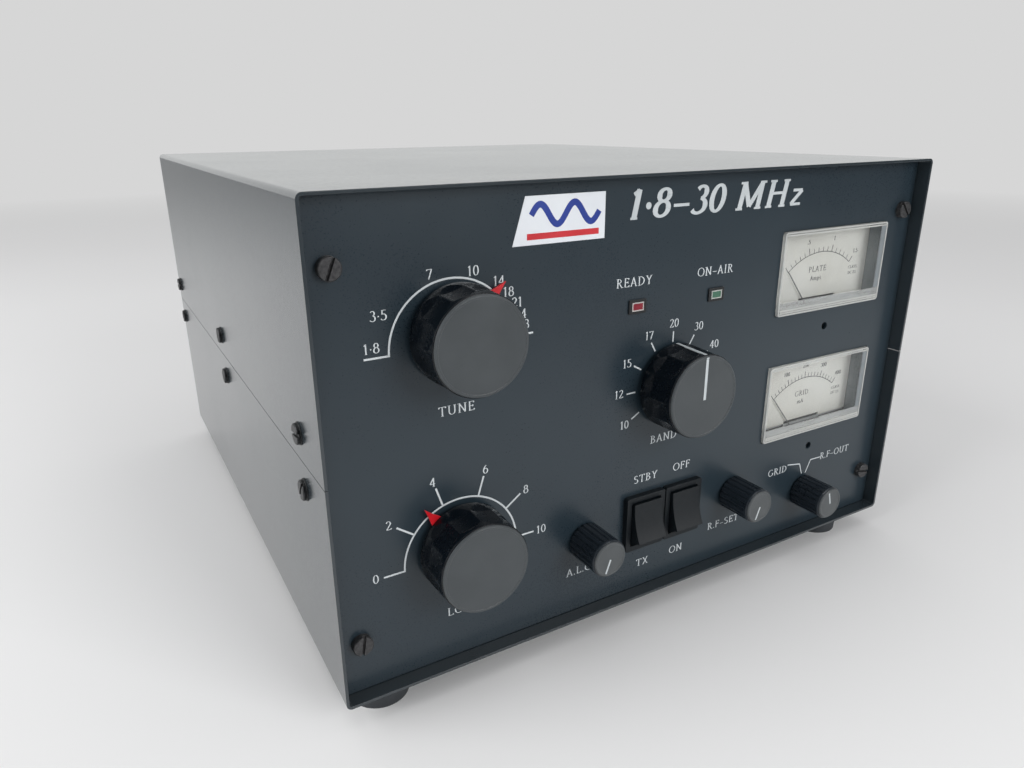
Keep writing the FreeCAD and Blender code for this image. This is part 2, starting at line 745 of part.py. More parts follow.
def big_knob(at):
    """A tapered knob with broad flutes between a plain nose ring and a plain skirt."""
    x, z = front_place(at)
    rear = PANEL_FRONT - BIG_GAP
    front = PANEL_FRONT - BIG_REACH + BIG_CAP_T
    body = revolve_y([(0, rear), (BIG_R - EDGE_BREAK, rear), (BIG_R, rear - EDGE_BREAK),
                      (BIG_NOSE_R, front + EDGE_BREAK), (BIG_NOSE_R - EDGE_BREAK, front), (0, front)], x, z)
    cutter = flute_cutter(x, z, front, rear)
    flutes = [spin(cutter, x, z, (i + 0.5) * 360 / FLUTES) for i in range(FLUTES)]
    bore = rod_y(SHAFT_R + HOLE_GAP, x, z, rear - SHAFT_IN_KNOB, rear + 1)
    return cut(body, flutes + [bore])


def knob_cap(at, reach, radius, thickness):
    """A thin disc let into the knob's face, very slightly dished inside its rim."""
    x, z = front_place(at)
    front = PANEL_FRONT - reach
    edge = radius - CAP_CHAMFER
    return revolve_y([(0, front + CAP_DISH), (edge - CAP_RIM, front + CAP_DISH), (edge - CAP_RIM, front),
                      (edge, front), (radius, front + CAP_CHAMFER), (radius, front + thickness),
                      (0, front + thickness)], x, z)


def pointer(at, angle):
    """A thin disc clamped under the knob, with one tooth that points at the scale."""
    x, z = front_place(at)
    y0 = PANEL_FRONT - BIG_GAP
    disc = rod_y(POINTER_DISC_R, x, z, y0, y0 + POINTER_T)
    root, waist = BIG_R - POINTER_ROOT_IN, POINTER_R - POINTER_POINT_L
    upper = [(POINTER_DISC_R / 2, POINTER_HALF_W), (root, POINTER_HALF_W), (waist, POINTER_TIP_HALF_W)]
    outline = upper + [(POINTER_R, 0)] + [(u, -v) for u, v in reversed(upper)]
    tooth = prism_y([(x + u, z + v) for u, v in outline], y0, y0 + POINTER_T)
    bore = rod_y(SHAFT_R + HOLE_GAP, x, z, y0 - 1, y0 + POINTER_T + 1)
    return spin(cut(fuse([disc, tooth]), [bore]), x, z, angle)


def small_knob(at):
    """A ribbed knob and the control shaft that it is pushed on to."""
    x, z = front_place(at)
    rear = PANEL_FRONT - SMALL_GAP
    front = PANEL_FRONT - SMALL_REACH + SMALL_CAP_T
    body = revolve_y([(0, rear), (SMALL_R, rear), (SMALL_R, front + CAP_CHAMFER),
                      (SMALL_R - CAP_CHAMFER, front), (0, front)], x, z)
    cutter = rod_y(RIB_CUTTER_R, x + SMALL_R + RIB_CUTTER_R / 3, z, front + SMALL_COLLAR, rear + 1)
    grooves = [spin(cutter, x, z, i * 360 / RIBS) for i in range(RIBS)]
    nut_room = rod_y(POT_NUT_R + NUT_ROOM, x, z, PANEL_FRONT - POT_NUT_T - 2 * FREE_GAP, rear + 1)
    bore = rod_y(SHAFT_R + HOLE_GAP, x, z, rear - SHAFT_IN_KNOB, rear + 1)
    shaft = rod_y(SHAFT_R, x, z, rear - SHAFT_IN_KNOB + HOLE_GAP, PANEL_BACK + POT_SHAFT_DEPTH)
    return group([cut(body, grooves + [nut_room, bore]), shaft])


# ---- what stands behind the knobs --------------------------------------------------------------
def ring_nut(radius, bore_r, x, z, y0, y1):
    """A hexagonal nut on an axis along Y."""
    points = [(x + radius * math.cos(math.radians(60 * i)), z + radius * math.sin(math.radians(60 * i)))
              for i in range(6)]
    return cut(prism_y(points, y0, y1), [rod_y(bore_r, x, z, y0 - 1, y1 + 1)])


def shaft_bushes():
    parts = []
    for at in (TUNE_AT, LOAD_AT):
        x, z = front_place(at)
        flange = rod_y(BUSH_FLANGE_R, x, z, PANEL_FRONT - BUSH_FLANGE_T, PANEL_FRONT)
        barrel = rod_y(BUSH_R, x, z, PANEL_FRONT - BUSH_FLANGE_T, PANEL_FRONT + BUSH_L)
        bore = rod_y(SHAFT_R + RUN_GAP, x, z, PANEL_FRONT - BUSH_FLANGE_T - 1, PANEL_FRONT + BUSH_L + 1)
        parts.append(cut(fuse([flange, barrel]), [bore]))
        parts.append(ring_nut(NUT_R, BUSH_R + HOLE_GAP, x, z, PANEL_BACK, PANEL_BACK + BUSH_NUT_T))
    return group(parts)


def control_bodies():
    """The two level controls and the meter selector, each with its bush and nut."""
    parts = []
    for at in (ALC_AT, RF_SET_AT, SELECT_AT):
        x, z = front_place(at)
        can = rod_y(POT_R, x, z, PANEL_BACK, PANEL_BACK + POT_L)
        bush = rod_y(POT_BUSH_R, x, z, PANEL_FRONT - POT_NUT_T, PANEL_BACK + 1)
        back = PANEL_BACK + POT_L
        tags = [centred_box(x + dx, z + POT_R / 2, TAG_W, TAG_T, back - 1, back + TAG_L)
                for dx in (-TAG_PITCH, 0, TAG_PITCH)]
        bore_end = PANEL_BACK + POT_SHAFT_DEPTH + FREE_GAP
        bore = rod_y(SHAFT_R + RUN_GAP, x, z, PANEL_FRONT - POT_NUT_T - 1, bore_end)
        parts.append(cut(fuse([can, bush] + tags), [bore]))
        parts.append(ring_nut(POT_NUT_R, POT_BUSH_R + HOLE_GAP, x, z, PANEL_FRONT - POT_NUT_T, PANEL_FRONT))
    return group(parts)


def vane_ys():
    """Where the rotor vanes of a variable capacitor start along its shaft."""
    used = VANE_PITCH * (VANES - 1)
    first = CAP_FRONT + (CAP_L - used) / 2
    return [first + i * VANE_PITCH for i in range(VANES)]


def capacitor_stator(at):
    """End plates on feet, and the fixed vanes below the shaft on their two rods."""
    x, z = front_place(at)
    feet_z = z - CAP_FEET
    rear = CAP_FRONT + CAP_L
    ends = []
    for y in (CAP_FRONT, rear - CAP_PLATE_T):
        plate = box(x - CAP_HALF_W, x + CAP_HALF_W, y, y + CAP_PLATE_T, feet_z, z + CAP_ABOVE_AXIS)
        ends.append(cut(plate, [rod_y(SHAFT_R + RUN_GAP, x, z, y - 1, y + CAP_PLATE_T + 1)]))
    offset = (VANE_PITCH - VANE_T) / 2
    vanes = []
    for y in vane_ys()[:-1]:
        y0 = y + VANE_T + offset - VANE_T / 2
        vane = box(x - VANE_R, x + VANE_R, y0, y0 + VANE_T, z - VANE_R - VANE_MARGIN, z - VANE_BELOW_AXIS)
        vanes.append(cut(vane, [rod_y(SHAFT_R + VANE_SHAFT_ROOM, x, z, y0 - 1, y0 + VANE_T + 1)]))
    rods = [rod_y(STATOR_ROD_R, x + s * STATOR_ROD_OUT, z - STATOR_ROD_OUT, CAP_FRONT + CAP_PLATE_T,
                  rear - CAP_PLATE_T) for s in (-1, 1)]
    return group(ends + [fuse(vanes + rods)])


def capacitor_rotor(at, angle):
    """The shaft with its half-round vanes; they lie fully between the fixed ones at 180 degrees."""
    x, z = front_place(at)
    rear = CAP_FRONT + CAP_L
    shaft = rod_y(SHAFT_R, x, z, PANEL_FRONT - BIG_GAP - SHAFT_IN_KNOB + HOLE_GAP, rear + 1)
    vanes = []
    for y in vane_ys():
        half = rod_y(VANE_R - VANE_MARGIN, x, z, y, y + VANE_T)
        vanes.append(cut(half, [box(x - VANE_R, x + VANE_R, y - 1, y + VANE_T + 1, z - VANE_R, z)]))
    return spin(fuse([shaft] + vanes), x, z, angle)


def wafer_ys():
    return [PANEL_BACK + WAFER_FIRST + i * WAFER_PITCH for i in range(BAND_WAFERS)]


def band_switch_body():
    """Index mechanism, bush and nut, with the ceramic wafers on their two rods."""
    x, z = front_place(BAND_AT)
    index = rod_y(INDEX_R, x, z, PANEL_BACK, PANEL_BACK + INDEX_L)
    bush = rod_y(BUSH_R, x, z, PANEL_FRONT - POT_NUT_T, PANEL_BACK + 1)
    last = wafer_ys()[-1] + WAFER_T
    rods = [rod_y(WAFER_ROD_R, x, z + s * WAFER_ROD_OUT, PANEL_BACK + INDEX_L - 1, last + 2) for s in (-1, 1)]
    wafers = [cut(rod_y(WAFER_R, x, z, y, y + WAFER_T), [rod_y(WAFER_BORE_R, x, z, y - 1, y + WAFER_T + 1)])
              for y in wafer_ys()]
    bore = rod_y(SHAFT_R + RUN_GAP, x, z, PANEL_FRONT - POT_NUT_T - 1, PANEL_BACK + INDEX_L + 1)
    body = cut(fuse([index, bush] + rods + wafers), [bore])
    nut = ring_nut(NUT_R, BUSH_R + HOLE_GAP, x, z, PANEL_FRONT - POT_NUT_T, PANEL_FRONT)
    return group([body, nut])


def band_switch_rotor():
    x, z = front_place(BAND_AT)
    last = wafer_ys()[-1] + WAFER_T
    shaft = rod_y(SHAFT_R, x, z, PANEL_FRONT - BIG_GAP - SHAFT_IN_KNOB + HOLE_GAP, last + 1)
    discs = [rod_y(WAFER_BORE_R - FREE_GAP, x, z, y, y + WAFER_T) for y in wafer_ys()]
    return fuse([shaft] + discs)


# ---- rocker switches ---------------------------------------------------------------------------
def rocker_places():
    x, z = front_place(ROCKERS_AT)
    return [(x - ROCKER_PITCH / 2, z), (x + ROCKER_PITCH / 2, z)]


def switch_housings():
    parts = []
    front = PANEL_FRONT - BEZEL_PROUD
    for x, z in rocker_places():
        bezel = rounded_block(x, z, BEZEL_W, BEZEL_H, front, PANEL_FRONT, BEZEL_CORNER_R)
        body = centred_box(x, z, HOUSING_W, HOUSING_H, front, PANEL_BACK + HOUSING_L)
        room = centred_box(x, z, ROCKER_OPEN_W, ROCKER_OPEN_H, front - 1, PANEL_BACK + HOUSING_L / 2)
        holes = rod_x(TRUNNION_R + RUN_GAP, ROCKER_AXIS_Y, z, x - ROCKER_W / 2 - TRUNNION_L - FREE_GAP,
                      x + ROCKER_W / 2 + TRUNNION_L + FREE_GAP)
        back = PANEL_BACK + HOUSING_L
        across, up = SWITCH_TAG_PITCH
        tags = [centred_box(x + i * across / 2, z + k * up, TAG_T, SWITCH_TAG_W, back - 1, back + SWITCH_TAG_L)
                for i in (-1, 1) for k in (-1, 0, 1)]
        parts.append(cut(fuse([bezel, body] + tags), [room, holes]))
    return group(parts)


def rocker_side():
    """Half a rocker's side outline as (ahead of the axis, away from it): face end, flank, back."""
    angles = [math.radians(a) for a in FLANK_ANGLES]
    flank = [(FLANK_R * math.sin(a), FLANK_R * math.cos(a)) for a in angles]
    return [(ROCKER_END_OUT, ROCKER_H / 2)] + flank + [(-ROCKER_BACK, ROCKER_BACK_HALF)]


def rocker(place):
    """A dished rocker with two trunnions, shown pressed in at its top."""
    x, z = place
    half = ROCKER_H / 2
    y = ROCKER_AXIS_Y
    outline = [(y - u, z + v) for u, v in rocker_side()] + [(y - u, z - v) for u, v in reversed(rocker_side())]
    profile = prism_x(outline, x - ROCKER_W / 2, x + ROCKER_W / 2)
    dish_r = (half * half + ROCKER_DISH * ROCKER_DISH) / (2 * ROCKER_DISH)
    dish_y = y - ROCKER_END_OUT + ROCKER_DISH - dish_r
    dish = rod_x(dish_r, dish_y, z, x - ROCKER_W, x + ROCKER_W)
    trunnions = rod_x(TRUNNION_R, y, z, x - ROCKER_W / 2 - TRUNNION_L, x + ROCKER_W / 2 + TRUNNION_L)
    body = fuse([cut(profile, [dish]), trunnions])
    body.rotate(Vector(x, y, z), Vector(-1, 0, 0), ROCKER_TILT)
    return body


# ---- panel meters ------------------------------------------------------------------------------
def meter_places():
    return [front_place((METER_X, z)) for z in METER_ZS]


def meter_lens(x, z):
    """The clear front: a window that comes through the panel, on a flange behind it."""
    front = PANEL_FRONT - METER_PROUD
    seat = PANEL_BACK + METER_FLANGE_T
    window = rounded_block(x, z, METER_W, METER_H, front, seat, WINDOW_CORNER_R)
    side = METER_W / 2 + METER_FLANGE_SIDE
    flange = box(x - side, x + side, PANEL_BACK, seat, z - METER_BODY_DOWN, z + METER_H / 2 + METER_FLANGE_SIDE)
    room = centred_box(x, z, METER_W - 2 * LENS_WALL, METER_H - 2 * LENS_WALL, front + LENS_WALL, seat + 1)
    adjuster = rod_y(ADJUST_R, x, z - ADJUST_BELOW, PANEL_BACK - 1, seat + 1)
    return cut(fuse([window, flange]), [room, adjuster])


def meter_case(x, z):
    """The black case behind the flange, with the movement's boss inside it."""
    y0 = PANEL_BACK + METER_FLANGE_T
    y1 = y0 + METER_BODY_L
    side = METER_W / 2
    low, high = z - METER_BODY_DOWN + 1, z + METER_H / 2
    shell = box(x - side, x + side, y0, y1, low, high)
    room = box(x - side + METER_WALL, x + side - METER_WALL, y0 - 1, y1 - METER_WALL,
               low + METER_WALL, high - METER_WALL)
    pivot_z = z - PIVOT_BELOW
    dial_back = DIAL_FRONT + DIAL_T
    boss = rod_y(BOSS_R, x, pivot_z, dial_back + BOSS_BEHIND_DIAL, y1 - 1)
    bore = rod_y(PIVOT_R + RUN_GAP, x, pivot_z, DIAL_FRONT, dial_back + PIVOT_L + 1)
    ribs = [centred_box(x + s * (side - DIAL_RIB_IN), z, DIAL_RIB_W, DIAL_RIB_H, dial_back, y1 - 1)
            for s in (-1, 1)]
    return cut(fuse([cut(shell, [room]), boss] + ribs), [bore])


def meter_dial(x, z):
    """The white scale plate, cut away at its foot for the needle."""
    side = METER_W / 2 - METER_WALL - DIAL_SIDE_GAP
    high = z + METER_H / 2 - METER_WALL - DIAL_SIDE_GAP
    low = z - METER_H / 2 + DIAL_CUT_LOW
    plate = box(x - side, x + side, DIAL_FRONT, DIAL_FRONT + DIAL_T, low, high)
    slot = box(x - MOVEMENT_R, x + MOVEMENT_R, DIAL_FRONT - 1, DIAL_FRONT + DIAL_T + 1,
               low - 1, low + DIAL_SLOT_UP)
    return cut(plate, [slot])


def needle(place):
    """A needle on its pivot, at the low end of the scale."""
    x, z = place
    pivot_z = z - PIVOT_BELOW
    y1 = DIAL_FRONT - NEEDLE_BEFORE_DIAL
    y0 = y1 - NEEDLE_T
    upper = [(-NEEDLE_TAIL, BLADE_HALF), (0, BLADE_HALF), (NEEDLE_R, NEEDLE_TIP_HALF)]
    outline = upper + [(u, -v) for u, v in reversed(upper)]
    blade = prism_y([(x + u, pivot_z + v) for u, v in outline], y0, y1)
    dial_back = DIAL_FRONT + DIAL_T
    hub = rod_y(NEEDLE_HUB_R, x, pivot_z, y0, dial_back + BOSS_BEHIND_DIAL - FREE_GAP)
    pivot = rod_y(PIVOT_R, x, pivot_z, y0, dial_back + PIVOT_L)
    return spin(fuse([blade, hub, pivot]), x, pivot_z, NEEDLE_ANGLE)


# ---- indicator lamps ---------------------------------------------------------------------------
def lamp_places():
    return [front_place((x, LAMP_Z)) for x in LAMPS_X]


def lamp_bezels():
    parts = []
    front = PANEL_FRONT - LAMP_PROUD
    for x, z in lamp_places():
        rim = rounded_block(x, z, *LAMP_BEZEL, front, PANEL_FRONT, LAMP_CORNER_R)
        body = centred_box(x, z, *LAMP_BODY, front, PANEL_FRONT + LAMP_BODY_L)
        room = centred_box(x, z, *LAMP_LENS, front - 1, PANEL_FRONT + LAMP_BODY_L - LAMP_BACK_T)
        parts.append(cut(fuse([rim, body]), [room]))
    return group(parts)


def lamp_lens(place):
    front = PANEL_FRONT - LAMP_PROUD - LAMP_LENS_PROUD
    back = PANEL_FRONT + LAMP_BODY_L - LAMP_BACK_T
    return rounded_block(*place, *LAMP_LENS, front, back, LAMP_CORNER_R)


# ---- valves ------------------------------------------------------------------------------------
def valve_places():
    """(x, y) of the four valves on their deck."""
    x = LEFT + DECK_FROM_LEFT + DECK_W / 2
    y = DECK_BACK - DECK_L / 2
    half = VALVE_PITCH / 2
    return [(x + sx * half, y + sy * half) for sx in (-1, 1) for sy in (-1, 1)]


def valve_deck():
    """An inverted channel that stands on the tray, with holes for the valve bases."""
    x0 = LEFT + DECK_FROM_LEFT
    x1 = x0 + DECK_W
    top = box(x0, x1, DECK_FRONT, DECK_BACK, DECK_LOW, DECK_TOP)
    sides = [box(x, x + DECK_T, DECK_FRONT, DECK_BACK, TRAY_TOP, DECK_LOW) for x in (x0, x1 - DECK_T)]
    holes = [rod_z(VALVE_BASE_R + VALVE_HOLE_GAP, x, y, DECK_LOW - 1, DECK_TOP + 1) for x, y in valve_places()]
    return cut(fuse([top] + sides), holes)


def valve_sockets():
    parts = []
    for x, y in valve_places():
        low = DECK_LOW - SOCKET_H
        body = rod_z(SOCKET_R, x, y, low, DECK_LOW)
        holes = [rod_z(PIN_R + FREE_GAP, px, py, low - 1, DECK_LOW + 1) for px, py in pin_places(x, y)]
        parts.append(cut(body, holes + [rod_z(VALVE_CENTRE_R, x, y, low - 1, DECK_LOW + 1)]))
    return group(parts)


def pin_places(x, y):
    angles = [math.radians(45 + 90 * i) for i in range(4)]
    return [(x + PIN_CIRCLE_R * math.cos(a), y + PIN_CIRCLE_R * math.sin(a)) for a in angles]


def bulb(inset):
    """Half the outline of a valve's glass in the XZ plane, a given distance inside its surface."""
    foot = VALVE_BASE_H
    neck = VALVE_BASE_R - NECK_INSET - inset
    wide = VALVE_R - inset
    top = VALVE_H - VALVE_CAP_H - inset
    shoulder = (foot + top) / 2
    low = foot + inset
    neck_line = Part.LineSegment(Vector(0, 0, low), Vector(neck, 0, low)).toShape()
    side = Part.BSplineCurve()
    side.interpolate([Vector(neck, 0, low), Vector(neck + NECK_FLARE, 0, low + NECK_L),
                      Vector(wide, 0, shoulder), Vector(wide * SHOULDER_SHARE, 0, top - SHOULDER_DROP),
                      Vector(VALVE_CAP_R, 0, top)])
    crown = Part.LineSegment(Vector(VALVE_CAP_R, 0, top), Vector(0, 0, top)).toShape()
    axis = Part.LineSegment(Vector(0, 0, top), Vector(0, 0, low)).toShape()
    return Part.Wire([neck_line, side.toShape(), crown, axis])


def valve(x, y):
    """Base with pins, hollow glass, electrodes on their stem, and top cap."""
    base = rod_z(VALVE_BASE_R, x, y, 0, VALVE_BASE_H)
    pins = [rod_z(PIN_R, px, py, -PIN_L, 1) for px, py in pin_places(x, y)]
    glass = cut(revolve_z(bulb(0), x, y), [revolve_z(bulb(GLASS_T), x, y)])
    stem = rod_z(VALVE_STEM_R, x, y, VALVE_BASE_H + GLASS_T, VALVE_BASE_H + VALVE_STEM_H)
    wide, deep = ANODE[0] / 2, ANODE[1] / 2
    anode = box(x - wide, x + wide, y - deep, y + deep, VALVE_BASE_H + ANODE_UP, VALVE_H - ANODE_FROM_TOP)
    cap = rod_z(VALVE_CAP_R, x, y, VALVE_H - VALVE_CAP_H, VALVE_H)
    parts = [fuse([base] + pins), glass, fuse([stem, anode]), cap]
    for part in parts:
        part.translate(Vector(0, 0, DECK_LOW))
    return parts


def valves():
    return group([part for x, y in valve_places() for part in valve(x, y)])


# ---- coils -------------------------------------------------------------------------------------
def wound(radius, wire_r, turns, length):
    """A close winding along +Z from the origin: each turn shows as one rounded ridge."""
    pitch = length / turns
    inner = radius - wire_r
    edges = [Part.LineSegment(Vector(inner, 0, length), Vector(inner, 0, 0)).toShape(),
             Part.LineSegment(Vector(inner, 0, 0), Vector(radius, 0, 0)).toShape()]
    for i in range(turns):
        z0 = i * pitch
        edges.append(Part.Arc(Vector(radius, 0, z0), Vector(radius + wire_r, 0, z0 + pitch / 2),
                              Vector(radius, 0, z0 + pitch)).toShape())
    edges.append(Part.LineSegment(Vector(radius, 0, length), Vector(inner, 0, length)).toShape())
    return revolve_z(Part.Wire(edges), 0, 0)


def rf_coils():
    """The tank coil on its former between two cheeks, and the anode choke on the valve deck."""
    x, z = front_place(BAND_AT)
    y0 = PANEL_BACK + COIL_Y
    y1 = y0 + COIL_L
    former_r = COIL_R - COIL_WIRE_R - HOLE_GAP
    former = cut(rod_y(former_r, x, z, y0, y1), [rod_y(former_r - FORMER_T, x, z, y0 - 1, y1 + 1)])
    winding = wound(COIL_R, COIL_WIRE_R, COIL_TURNS, COIL_L)
    winding.rotate(Vector(0, 0, 0), Vector(1, 0, 0), -90)
    winding.translate(Vector(x, y0, z))
    cheeks = [box(x - CHEEK_HALF_W, x + CHEEK_HALF_W, y, y + CHEEK_T, TRAY_TOP, z + CHEEK_HALF_W)
              for y in (y0 - CHEEK_T, y1)]
    places = valve_places()
    choke_x = sum(p[0] for p in places) / len(places)
    choke_y = sum(p[1] for p in places) / len(places)
    choke_former = rod_z(CHOKE_R - CHOKE_WIRE_R - HOLE_GAP, choke_x, choke_y,
                         DECK_TOP, DECK_TOP + CHOKE_L + 2 * CHOKE_END)
    choke = wound(CHOKE_R, CHOKE_WIRE_R, CHOKE_TURNS, CHOKE_L)
    choke.translate(Vector(choke_x, choke_y, DECK_TOP + CHOKE_END))
    return group([former, winding] + cheeks + [choke_former, choke])


# ---- power supply and boards -------------------------------------------------------------------
def power_transformer():
    """A wound toroid between two round plates, held by one bolt that stands on the tray."""
    z0 = TRAY_TOP + CLAMP_T
    core = cut(rod_z(TOROID_R, TOROID_X, TOROID_Y, z0, TOROID_TOP),
               [rod_z(TOROID_BORE_R, TOROID_X, TOROID_Y, z0 - 1, TOROID_TOP + 1)])
    rims = [e for e in core.Edges
            if abs(e.BoundBox.XLength - 2 * TOROID_R) < 0.01 and e.BoundBox.ZLength < 0.01]
    core = core.makeFillet(TOROID_EDGE_R, rims)
    bolt_hole = rod_z(CLAMP_BOLT_R + HOLE_GAP, TOROID_X, TOROID_Y, TRAY_LOW, TOROID_TOP + CLAMP_T + 1)
    plates = [cut(rod_z(CLAMP_R, TOROID_X, TOROID_Y, z, z + CLAMP_T), [bolt_hole])
              for z in (TRAY_TOP, TOROID_TOP)]
    seat = TOROID_TOP + CLAMP_T
    head = rod_z(CLAMP_HEAD_R, TOROID_X, TOROID_Y, seat, seat + CLAMP_HEAD_H)
    bolt = rod_z(CLAMP_BOLT_R, TOROID_X, TOROID_Y, TRAY_TOP, seat + 1)
    return group([core] + plates + [fuse([head, bolt])])


def board_corners(x, y, width, length):
    dx, dy = width / 2 - PILLAR_INSET, length / 2 - PILLAR_INSET
    return [(x + sx * dx, y + sy * dy) for sx in (-1, 1) for sy in (-1, 1)]


def board_on_pillars(x, y, width, length, low):
    board = box(x - width / 2, x + width / 2, y - length / 2, y + length / 2, low, low + BOARD_T)
    pillars = [rod_z(PILLAR_R, px, py, TRAY_TOP, low) for px, py in board_corners(x, y, width, length)]
    return group([board] + pillars)


def reservoir_capacitors():
    parts = []
    for i in range(4):
        for side in (-1, 1):
            x = TOROID_X + (i - 1.5) * RESERVOIR_PITCH_X
            y = TOROID_Y + side * RESERVOIR_PITCH_Y / 2
            can = rod_z(RESERVOIR_R, x, y, BOARD_LOW + BOARD_T, BOARD_LOW + BOARD_T + RESERVOIR_H)
            parts.append(can.makeFillet(RESERVOIR_EDGE_R, [can.Edges[0], can.Edges[2]]))
    return group(parts)


def control_board_centre():
    return RIGHT - CONTROL_FROM_RIGHT, PANEL_BACK + CONTROL_START + CONTROL_L / 2


def circuit_boards():
    """The reservoir capacitors' board above the transformer, and the control board on the tray."""
    return group([board_on_pillars(TOROID_X, TOROID_Y, BOARD_W, BOARD_L, BOARD_LOW),
                  board_on_pillars(*control_board_centre(), CONTROL_W, CONTROL_L, TRAY_TOP + CONTROL_UP)])


def relays():
    x, y = control_board_centre()
    z = TRAY_TOP + CONTROL_UP + BOARD_T
    width, length, height = RELAY
    parts = []
    for i in (-1, 0, 1):
        cx = x + i * RELAY_PITCH
        parts.append(box(cx - width / 2, cx + width / 2, y - length / 2, y + length / 2, z, z + height))
    return group(parts)


# ---- cooling fan -------------------------------------------------------------------------------
def fan_place():
    return LEFT + FAN_FROM_LEFT, CASE_LOW + FAN_UP


def fan_corners():
    """(x, z) of the four fixing holes at the fan's corners."""
    x, z = fan_place()
    half = FAN_HOLE_PITCH / 2
    return [(x + sx * half, z + sz * half) for sx in (-1, 1) for sz in (-1, 1)]


def fan_frame():
    x, z = fan_place()
    y0 = REAR_INSIDE - FAN_T
    shell = rounded_block(x, z, FAN_SIZE, FAN_SIZE, y0, REAR_INSIDE, FAN_CORNER_R)
    tunnel = rod_y(FAN_BORE_R, x, z, y0 - 1, REAR_INSIDE + 1)
    motor = rod_y(FAN_HUB_R, x, z, REAR_INSIDE - FAN_MOTOR_T, REAR_INSIDE)
    arm = box(x, x + FAN_BORE_R + 1, REAR_INSIDE - FAN_MOTOR_T, REAR_INSIDE,
              z - FAN_ARM_W / 2, z + FAN_ARM_W / 2)
    arms = [spin(arm, x, z, 45 + 90 * i) for i in range(4)]
    bearing = rod_y(FAN_SHAFT_R + RUN_GAP, x, z, REAR_INSIDE - FAN_MOTOR_T - 1, REAR_INSIDE - SHAFT_END_GAP)
    holes = [rod_y(GUARD_WIRE_R + HOLE_GAP, *place, REAR_INSIDE - FAN_HOLE_L, REAR_INSIDE + 1)
             for place in fan_corners()]
    return cut(fuse([cut(shell, [tunnel]), motor] + arms), [bearing] + holes)


def fan_rotor():
    x, z = fan_place()
    y0 = REAR_INSIDE - FAN_T + FAN_HUB_BACK
    y1 = REAR_INSIDE - FAN_MOTOR_T - FREE_GAP
    hub = rod_y(FAN_HUB_R, x, z, y0, y1)
    shaft = rod_y(FAN_SHAFT_R, x, z, y0, REAR_INSIDE - SHAFT_END_GAP - FREE_GAP)
    middle = (y0 + y1) / 2
    blade = box(x + FAN_HUB_R - 1, x + FAN_ROTOR_R + 1, middle - FAN_BLADE_T / 2, middle + FAN_BLADE_T / 2,
                z - FAN_BLADE_W / 2, z + FAN_BLADE_W / 2)
    blade.rotate(Vector(x, middle, z), Vector(1, 0, 0), FAN_BLADE_ANGLE)
    blade = blade.common(rod_y(FAN_ROTOR_R, x, z, y0, y1))
    return fuse([hub, shaft] + [spin(blade, x, z, i * 360 / FAN_BLADES) for i in range(FAN_BLADES)])


def fan_guard():
    """Wire rings on two crossed bars that end in four pins through the panel."""
    x, z = fan_place()
    y = REAR_FACE + GUARD_OUT
    radii = [FAN_BORE_R * (i + 1) / GUARD_RINGS for i in range(GUARD_RINGS)]
    rings = [Part.makeTorus(r, GUARD_WIRE_R, Vector(x, y, z), Vector(0, 1, 0)) for r in radii]
    reach = FAN_HOLE_PITCH / math.sqrt(2)
    bar_y = y - GUARD_BAR_BEHIND
    bar = rod_x(GUARD_WIRE_R, bar_y, z, x - reach, x + reach)
    leg = rod_y(GUARD_WIRE_R, x + reach, z, REAR_INSIDE - GUARD_PIN_L, bar_y)
    bars = [spin(bar, x, z, 45 + 90 * i) for i in range(2)]
    legs = [spin(leg, x, z, 45 + 90 * i) for i in range(4)]
    return fuse(rings + bars + legs)


# ---- rear connectors ---------------------------------------------------------------------------
def coax_sockets():
    parts = []
    for at in COAX_ATS:
        x, z = rear_place(at)
        face = REAR_FACE + COAX_FLANGE_T
        flange = rounded_block(x, z, COAX_FLANGE, COAX_FLANGE, REAR_FACE, face, FLANGE_CORNER_R)
        barrel = rod_y(COAX_R, x, z, REAR_FACE, face + COAX_L)
        tail = rod_y(COAX_TAIL_R, x, z, REAR_FACE - COAX_TAIL_L, REAR_FACE + 1)
        pin = rod_y(COAX_CONTACT_R, x, z, REAR_FACE - COAX_TAIL_L - COAX_PIN_OUT, REAR_FACE)
        bore = rod_y(COAX_CONTACT_R, x, z, face + COAX_L - COAX_BORE_L, face + COAX_L + 1)
        parts.append(cut(fuse([flange, barrel, tail, pin]), [bore]))
    return group(parts)


def phono_sockets():
    parts = []
    for at in PHONO_ATS:
        x, z = rear_place(at)
        face = REAR_FACE + PHONO_FLANGE_T
        flange = rod_y(PHONO_FLANGE_R, x, z, REAR_FACE, face)
        barrel = rod_y(PHONO_R, x, z, REAR_INSIDE - PHONO_TAIL_L, face + PHONO_L)
        nut = ring_nut(PHONO_FLANGE_R, PHONO_R + HOLE_GAP, x, z, REAR_INSIDE - PHONO_NUT_T, REAR_INSIDE)
        bore = rod_y(PHONO_BORE_R, x, z, face, face + PHONO_L + 1)
        parts += [cut(fuse([flange, barrel]), [bore]), nut]
    return group(parts)


def fuse_holders():
    parts = []
    for at in FUSE_ATS:
        x, z = rear_place(at)
        cap = rod_y(FUSE_CAP_R, x, z, REAR_FACE, REAR_FACE + FUSE_CAP_L)
        body = rod_y(FUSE_BODY_R, x, z, REAR_INSIDE - FUSE_BODY_L, REAR_FACE + 1)
        end = REAR_FACE + FUSE_CAP_L
        slot = centred_box(x, z, *FUSE_SLOT, end - FUSE_SLOT_DEPTH, end + 1)
        nut = ring_nut(FUSE_NUT_R, FUSE_BODY_R + HOLE_GAP, x, z, REAR_INSIDE - FUSE_NUT_T, REAR_INSIDE)
        parts += [cut(fuse([cap, body]), [slot]), nut]
    return group(parts)


